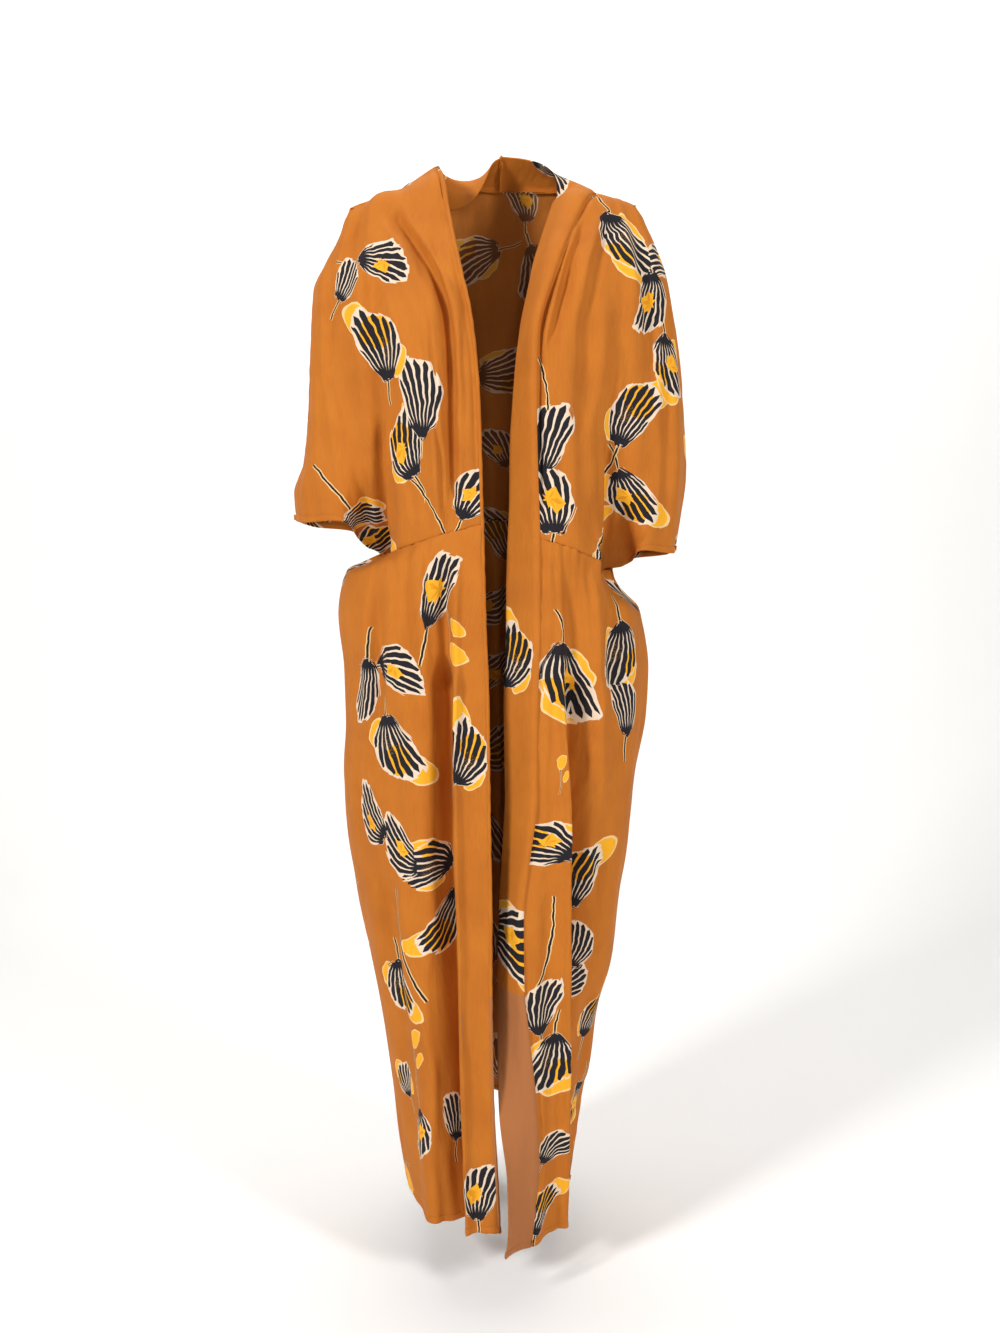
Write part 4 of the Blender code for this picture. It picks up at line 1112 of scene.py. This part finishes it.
def clothMaterial(title, leaf, paler, isBand=False):
    # Printed woven rayon (viscose): a soft matt plain weave with faint upright slubs and a low sheen
    material = bpy.data.materials.new(title)
    material.use_nodes = True
    tree = material.node_tree
    node = partial(addNode, tree)
    pattern = node("ShaderNodeUVMap", uv_map="pattern")
    slubMap = node("ShaderNodeMapping", {"Vector": pattern, "Scale": (
        1 / rayon["slub"], 1 / rayon["slubLength"], 1.0)})
    slub = node("ShaderNodeTexNoise", {"Vector": slubMap, "Scale": 1.0, "Detail": 2.0})
    # threads lie 0.3 mm apart on the real cloth and are drawn three times as coarse, so that they show
    threads = node("ShaderNodeTexNoise", {"Vector": pattern, "Scale": 1 / rayon["thread"] / 2})
    patch = node("ShaderNodeTexNoise", {"Vector": pattern, "Scale": rayon["patches"], "Detail": 2.0})
    tone = node("ShaderNodeMath", {0: slub, 1: rayon["slubShare"], 2: patch}, operation="MULTIPLY_ADD")
    ground = node("ShaderNodeMapRange", {0: tone, 1: 0.45, 2: 1.1})
    colour = node("ShaderNodeMix", {0: ground, 6: linear(rayon["deep"]), 7: linear(rayon["ground"])},
                  data_type="RGBA").outputs[2]
    for letter in "BA":
        spot, form = (node("ShaderNodeAttribute", attribute_name=kind + letter).outputs["Vector"]
                      for kind in ("leaf", "form"))
        drawn = node("ShaderNodeGroup", {"Cloth": colour, "Spot": spot, "Form": form}, node_tree=leaf)
        colour = drawn.outputs[0]
    over = []
    if paler:
        over.append((paler, "wrongSide"))
    if isBand:  # the lowest stretch of the band shows its plain, paler side
        where = node("ShaderNodeSeparateXYZ", {0: node("ShaderNodeTexCoord").outputs["Object"]})
        over.append((node("ShaderNodeMath", {0: where.outputs[2], 1: rayon["plainFrom"]},
                          operation="LESS_THAN"), "plainBand"))
    for share, shade in over:
        colour = node("ShaderNodeMix", {0: share, 6: colour, 7: linear(rayon[shade])},
                      data_type="RGBA").outputs[2]
    crumpleMap = node("ShaderNodeMapping", {
        "Vector": pattern, "Rotation": (0, 0, rayon["crumpleTurn"]),
        "Scale": (1 / rayon["crumple"], 1 / rayon["crumpleLength"], 1.0)})
    crumple = node("ShaderNodeTexNoise", {"Vector": crumpleMap, "Scale": 1.0, "Detail": 2.5})
    soft = node("ShaderNodeBump", {"Strength": 0.6, "Distance": rayon["crumpleDepth"], "Height": crumple})
    height = node("ShaderNodeMath", {0: threads, 1: 0.5, 2: slub}, operation="MULTIPLY_ADD")
    bump = node("ShaderNodeBump", {"Strength": rayon["bump"], "Distance": rayon["threadDepth"],
                                   "Height": height, "Normal": soft})
    rough = node("ShaderNodeMapRange", {0: slub, 3: rayon["roughness"] - rayon["smoother"],
                                        4: rayon["roughness"] + rayon["rougher"]})
    shader = tree.nodes["Principled BSDF"]
    for key, source in (("Base Color", colour), ("Normal", bump.outputs[0]),
                        ("Roughness", rough.outputs[0])):
        tree.links.new(source, shader.inputs[key])
    for key, value in (("Specular IOR Level", rayon["specular"]), ("Sheen Weight", rayon["sheen"]),
                       ("Sheen Roughness", rayon["sheenRoughness"]),
                       ("Sheen Tint", linear(rayon["sheenTint"]))):
        shader.inputs[key].default_value = value
    return material


print("stage: cloth")
leaf = leafGroup()
panelSides = (clothMaterial("wovenRayonPrint", leaf, 0), clothMaterial("wovenRayonWrongSide", leaf, 0.35))
bandSides = (clothMaterial("wovenRayonBand", leaf, 0, True),) * 2
pieces = {}
for number, name in enumerate(edged):
    isBand = name.startswith("band")
    piece = clothPiece(name, number, bandSides if isBand else panelSides)
    pieces[name] = piece
    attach(piece, "root")
    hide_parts(name)

# Stitch rows along the turned hems, one small thread shape over and over
stitch = {"pitch": 0.0030, "length": 0.0022, "thickness": 0.00052}


def stitchNodes():
    tree = bpy.data.node_groups.new("hemStitchRow", "GeometryNodeTree")
    node = partial(addNode, tree)
    for title, kind in (("Geometry", "Geometry"), ("Pitch", "Float"), ("Length", "Float"),
                        ("Thickness", "Float"), ("Thread", "Material")):
        tree.interface.new_socket(title, in_out="INPUT", socket_type="NodeSocket" + kind)
    tree.interface.new_socket("Geometry", in_out="OUTPUT", socket_type="NodeSocketGeometry")
    entry = node("NodeGroupInput").outputs
    run = node("GeometryNodeMeshToCurve", {0: entry["Geometry"]})
    points = node("GeometryNodeCurveToPoints", {"Curve": run, "Length": entry["Pitch"]}, mode="LENGTH")
    bead = node("GeometryNodeMeshIcoSphere", {"Radius": 0.5, "Subdivisions": 1})
    uneven = node("FunctionNodeRandomValue", {"Min": 0.85, "Max": 1.1, "Seed": 4}, data_type="FLOAT")
    uneven = next(end for end in uneven.outputs if end.enabled and end.type == "VALUE")
    long = node("ShaderNodeMath", {0: entry["Length"], 1: uneven}, operation="MULTIPLY")
    size = node("ShaderNodeCombineXYZ", {0: entry["Thickness"], 1: entry["Thickness"], 2: long})
    beads = node("GeometryNodeInstanceOnPoints", {
        "Points": points.outputs["Points"], "Instance": bead, "Rotation": points.outputs["Rotation"],
        "Scale": size})
    real = node("GeometryNodeRealizeInstances", {0: beads})
    named = node("GeometryNodeSetMaterial", {"Geometry": real, "Material": entry["Thread"]})
    node("NodeGroupOutput", {0: named})
    return tree


def plainMaterial(title, colour, roughness):
    material = bpy.data.materials.new(title)
    material.use_nodes = True
    shader = material.node_tree.nodes["Principled BSDF"]
    shader.inputs["Base Color"].default_value = linear(colour)
    shader.inputs["Roughness"].default_value = roughness
    return material


def stitchPiece():
    points, edges = [], []
    for run in hemStitches:
        start = len(points)
        points.extend(run.tolist())
        edges.extend((k, k + 1) for k in range(start, len(points) - 1))
    rows = bpy.data.meshes.new("stitchRows")
    rows.from_pydata(points, edges, [])
    piece = inScene("hem_stitches", rows)
    sewn = piece.modifiers.new("sewn", "NODES")
    sewn.node_group = stitchNodes()
    # Spun polyester thread: matt, a little darker than the cloth it sinks into
    thread = plainMaterial("spunPolyesterThread", "#A25A1C", 0.7)
    wanted = {**{key.title(): value for key, value in stitch.items()}, "Thread": thread}
    for socket in sewn.node_group.interface.items_tree:
        if socket.in_out == "INPUT" and socket.name in wanted:
            sewn[socket.identifier] = wanted[socket.name]
    mesh = bpy.data.meshes.new_from_object(piece.evaluated_get(bpy.context.evaluated_depsgraph_get()))
    piece.modifiers.clear()
    piece.data = mesh
    mesh.shade_smooth()
    print("stitches", len(mesh.polygons))
    return piece


stitches = stitchPiece()
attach(stitches, "root")

# Area of each panel's flat pattern, in square metres, worked out but not kept
for name, piece in pieces.items():
    flat = flats[name]
    corners = [flat[:-1, :-1], flat[1:, :-1], flat[1:, 1:], flat[:-1, 1:]]
    area = 0
    for a, b in zip(corners, corners[1:] + corners[:1]):
        area = area + (a[..., 0] * b[..., 1] - a[..., 1] * b[..., 0]) / 2
    area = float(np.abs(area).sum())

# Floor, light and camera
studio = {"floor": -1.47, "wall": 2.6, "width": 14.0, "paper": "#F4F3F1"}


def backdrop():
    # plain paper that curves up behind
    bendFrom = studio["wall"] - 1.0
    profile = [(-6.0, 0.0), (bendFrom, 0.0)]
    profile += [(bendFrom + math.sin(a), 1 - math.cos(a)) for a in np.linspace(0.1, math.pi / 2, 12)]
    profile.append((studio["wall"], 6.0))
    points = [(side * studio["width"] / 2, y, z + studio["floor"]) for y, z in profile for side in (-1, 1)]
    faces = [(2 * k, 2 * k + 1, 2 * k + 3, 2 * k + 2) for k in range(len(profile) - 1)]
    mesh = bpy.data.meshes.new("paperFloor")
    mesh.from_pydata(points, [], faces)
    mesh.shade_smooth()
    mesh.materials.append(plainMaterial("mattPaper", studio["paper"], 0.9))  # uncoated paper: no gloss
    inScene("paperFloor", mesh)


def softLight(title, spot, target, size, power):
    light = bpy.data.lights.new(title, "AREA")
    light.shape = "SQUARE"
    light.size = size
    light.energy = power
    lamp = inScene(title, light)
    lamp.location = spot
    aim = np.array(target) - np.array(spot)
    lamp.rotation_euler = (math.atan2(math.hypot(aim[0], aim[1]), -aim[2]), 0, math.atan2(-aim[0], aim[1]))


print("stage: studio")
backdrop()
softLight("keyLight", (-2.4, -2.3, 1.2), (0, 0, -0.7), 0.7, 114)
softLight("fillLight", (2.5, -2.2, 0.7), (0, 0, -0.7), 0.7, 68)
softLight("frontLight", (0.1, -3.1, -0.1), (0, 0, -0.7), 0.5, 11)
softLight("paperLight", (0, 0.9, 1.9), (0, 2.6, -0.6), 2.4, 60)
world = bpy.data.worlds.new("studioAir")
world.use_nodes = True
world.node_tree.nodes["Background"].inputs[0].default_value = linear("#FFFFFF")
world.node_tree.nodes["Background"].inputs[1].default_value = 0.10
bpy.context.scene.world = world
bpy.context.scene.view_settings.view_transform = "Standard"

view = {"spot": (0.0092, -1.87, -0.3273), "tilt": 80.4, "lens": 37.8, "sensor": 36}
lens = bpy.data.cameras.new("camera")
lens.sensor_fit = "VERTICAL"
lens.sensor_height = view["sensor"]
lens.lens = view["lens"]
camera = inScene("camera", lens)
camera.location = view["spot"]
camera.rotation_euler = (math.radians(view["tilt"]), 0, 0)
bpy.context.scene.camera = camera
